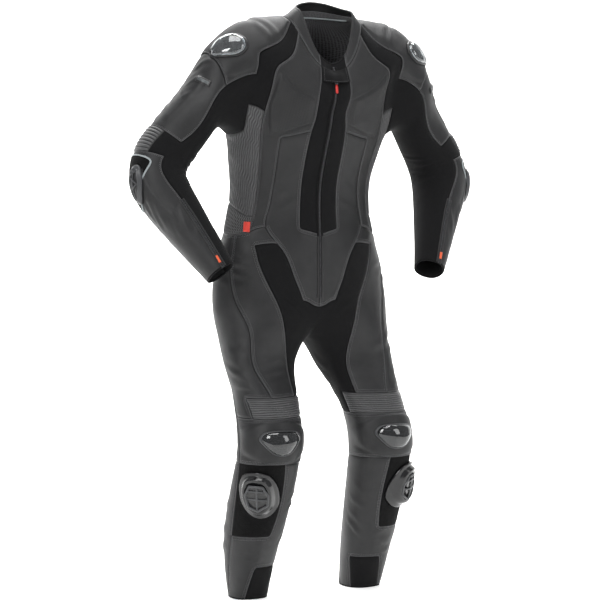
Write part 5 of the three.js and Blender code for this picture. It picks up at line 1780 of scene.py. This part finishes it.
patch_outline = rounded_outline(PATCH_PLACES, 3)
for word, side in SIDES:
    sizes = [0.12, 0.25, 0.4, 0.55, 0.7, 0.85]
    rings = [(size, 0.0006) for size in sizes] + [(1.0, 0.0006), (1.0, 0.0018), (0.98, 0.0024)]
    rings += [(size, 0.0026) for size in sizes[::-1]]
    patch = trim("elbow_loop_patch_" + word, laid_patch(side, patch_outline, PATCH_MIDDLE, rings),
                 fuzzy_loops)
    rim = [sleeve_point(side, u, v, 0.0022) for u, v in np.concatenate([patch_outline, patch_outline[:1]])]
    rim_line = (smoothed(np.array([at for at, _ in rim]), 4), np.array([out for _, out in rim]))
    trim("elbow_piping_" + word, bands([rim_line], 0.0022, 0.0020, sides=8), pale_piping)
    seat = Seat((450, 0, -344), (0.96, -0.14, -0.1), side, ELBOW_OUTLINE)
    puck = trim("elbow_puck_" + word, moulding(seat, [
        (1.0, 1.4), (1.0, 5.0), (0.98, 6.2), (0.94, 6.8), (0.86, 10.4), (0.83, 11.2), (0.76, 11.6),
        (0.74, 10.6), (0.7, 9.4),
        (0.35, 9.2)]), grey_satin)
    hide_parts("elbow_slider_" + word)
    trim("elbow_window_" + word, moulding(seat, [(0.69, 8.8), (0.69, 9.8), (0.6, 10.0), (0.3, 10.2)]),
         black_abs)
    trim("elbow_bars_" + word, struts(seat, ELBOW_BARS, ELBOW_FACE, 1.0, 0.0018, 0.0014), grey_satin)


# Small sewn tabs: a reflective tab in a rubber frame on each upper arm, an orange tag at each cuff and a
# plain red
# woven label at the right hip. Each is bent to the panel that it is sewn on.
def bent_plate(centre, normal, down, half_across, half_down, thick, clear, steps=(12, 6)):
    normal = normal / np.linalg.norm(normal)
    down = down - normal * (down @ normal)
    down /= np.linalg.norm(down)
    across = np.cross(normal, down)
    verts, faces = [], []
    n, m = steps
    for i in range(n + 1):
        for j in range(m + 1):
            place = centre + across * half_across * (2 * i / n - 1) + down * half_down * (2 * j / m - 1)
            hit = on_cover(place, normal)
            hit = place if hit is None else hit
            verts.append(hit + normal * (clear + thick))
            verts.append(hit + normal * clear)
    quads = [[i * (m + 1) + j, i * (m + 1) + j + 1, (i + 1) * (m + 1) + j + 1, (i + 1) * (m + 1) + j]
             for i in range(n) for j in range(m)]
    for q in quads:
        faces.append([2 * v for v in q])
        faces.append([2 * v + 1 for v in q][::-1])
    for a, b in open_edges(np.array(quads), len(verts)).items():
        faces.append([2 * a, 2 * a + 1, 2 * b + 1, 2 * b])
    uv = np.array([(i // 2 // (m + 1) * 0.02, i // 2 % (m + 1) * 0.02) for i in range(len(verts))])
    return np.array(verts), faces, uv


def bead_cloth():
    """Grey cloth coated with glass beads, which throws light back."""
    made, tree, shader = new_material("glass_bead_cloth", Metallic=0.35, Roughness=0.4)
    beads = node(tree, "TexVoronoi", {"Vector": node(tree, "TexCoord").outputs["Object"], "Scale": 900.0})
    colour = node(tree, "Mix", {"Factor": beads.outputs["Distance"], "A": linear("5d6162"),
                                "B": linear("3c3f40")},
                  data_type="RGBA")
    tree.links.new(colour.outputs["Result"], shader.inputs["Base Color"])
    return made


def woven_label(name, dark, light):
    made, tree, shader = new_material(name, Roughness=0.7, Sheen_Weight=0.2)
    place = node(tree, "TexCoord").outputs["Object"]
    weft = node(tree, "TexWave", {"Vector": place, "Scale": 330.0, "Distortion": 0.8}, bands_direction="Z")
    colour = node(tree, "Mix", {"Factor": weft.outputs["Fac"], "A": linear(dark), "B": linear(light)},
                  data_type="RGBA")
    bump = node(tree, "Bump", {"Height": weft.outputs["Fac"], "Strength": 0.3, "Distance": 0.0004})
    tree.links.new(colour.outputs["Result"], shader.inputs["Base Color"])
    tree.links.new(bump.outputs["Normal"], shader.inputs["Normal"])
    return made


rubber = moulded("black_frame_rubber", "0d0d0e", "171718", 0.4)
beads = bead_cloth()
red_weave = woven_label("red_woven_label", "b5281f", "d8402f")
orange_weave = woven_label("orange_woven_tape", "c8431c", "e0602c")


def box_middle(name):
    low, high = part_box(name)
    return (np.array(low) + np.array(high)) / 2


for word, side in SIDES:
    middle = box_middle("arm_tab_" + word)
    out = np.array([0.71 * side, -0.62, 0.34])
    run = np.array([0.5 * side, 0.1, -0.86])
    verts, faces, uv = bent_plate(middle, out, run, 0.0205, 0.0068, 0.0016, 0.0009)
    frame_piece = trim("arm_tab_frame_" + word, (verts, faces), rubber)
    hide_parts("arm_tab_" + word)
    verts, faces, uv = bent_plate(middle, out, run, 0.0162, 0.0034, 0.0004, 0.0025)
    trim("arm_tab_face_" + word, (verts, faces), beads)
    middle = box_middle("cuff_pull_" + word)
    out = np.array([-0.3 * side, -0.85, 0.4])
    run = np.array([-0.3 * side, -0.2, -0.93])
    verts, faces, uv = bent_plate(middle, out, run, 0.0030, 0.0088, 0.0014, 0.0009, steps=(4, 8))
    tag = trim("cuff_tag_" + word, (verts, faces), orange_weave)
    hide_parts("cuff_pull_" + word)
middle = box_middle("side_label")
verts, faces, uv = bent_plate(middle, np.array([-0.61, -0.79, 0.09]), np.array([0, 0.1, -1]), 0.0080,
                              0.0118, 0.0012, 0.0009)
label = trim("hip_label", (verts, faces), red_weave)
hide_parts("side_label")


# Calf and wrist zips: narrow black coil zips set in the seam down the inner calf and up from each cuff,
# with a
# folded leather edge along them.
leg_zip_lines, wrist_zip_lines = [], []
for word, side in SIDES:
    for piece, other, lines, chart, u_at, v_from in (
            ("calf_" + word, "shin_" + word, leg_zip_lines, LEG_CHART, 9, 6.4),
            ("forearm_" + word, "stretch_" + word, wrist_zip_lines, ARM_CHART, 9, 7.2)):
        for run in borders(piece, [other]):
            top = SKIN[skin_index(chart, side, u_at, v_from)]
            foot = SKIN[skin_index(chart, side, u_at, 9.8)]
            kept = [v for v in run if SKIN[v][2] < top[2] and np.linalg.norm(SKIN[v] - (top + foot) / 2)
                    < np.linalg.norm(top - foot) / 2 + 0.02]
            if len(kept) > 8 and np.linalg.norm(SKIN[kept] - foot, axis=1).min() < 0.03:
                lines.append(line_on(piece, kept, 0.0010, 0.0004))
for name, lines, band in (("calf", leg_zip_lines, full_leather), ("wrist", wrist_zip_lines, full_leather)):
    parts = [teeth(p, n, 0.0018, 0.0008) for p, n in lines]
    verts = np.concatenate([v for v, _ in parts])
    faces, base = [], 0
    for v, f in parts:
        faces += [[base + k for k in face] for face in f]
        base += len(v)
    trim(name + "_zip_teeth", (verts, faces), nickel)
    trim(name + "_zip_tape", bands([beside(p, n, 0, 0.0003) for p, n in lines], 0.0048, 0.0006, sides=8),
         tape)
    welt = [beside(p, n, side * 0.0050, 0.0010) for p, n in lines for side in (-1, 1)]
    trim(name + "_zip_welts", bands(welt, 0.0019, 0.0014, sides=8), band)
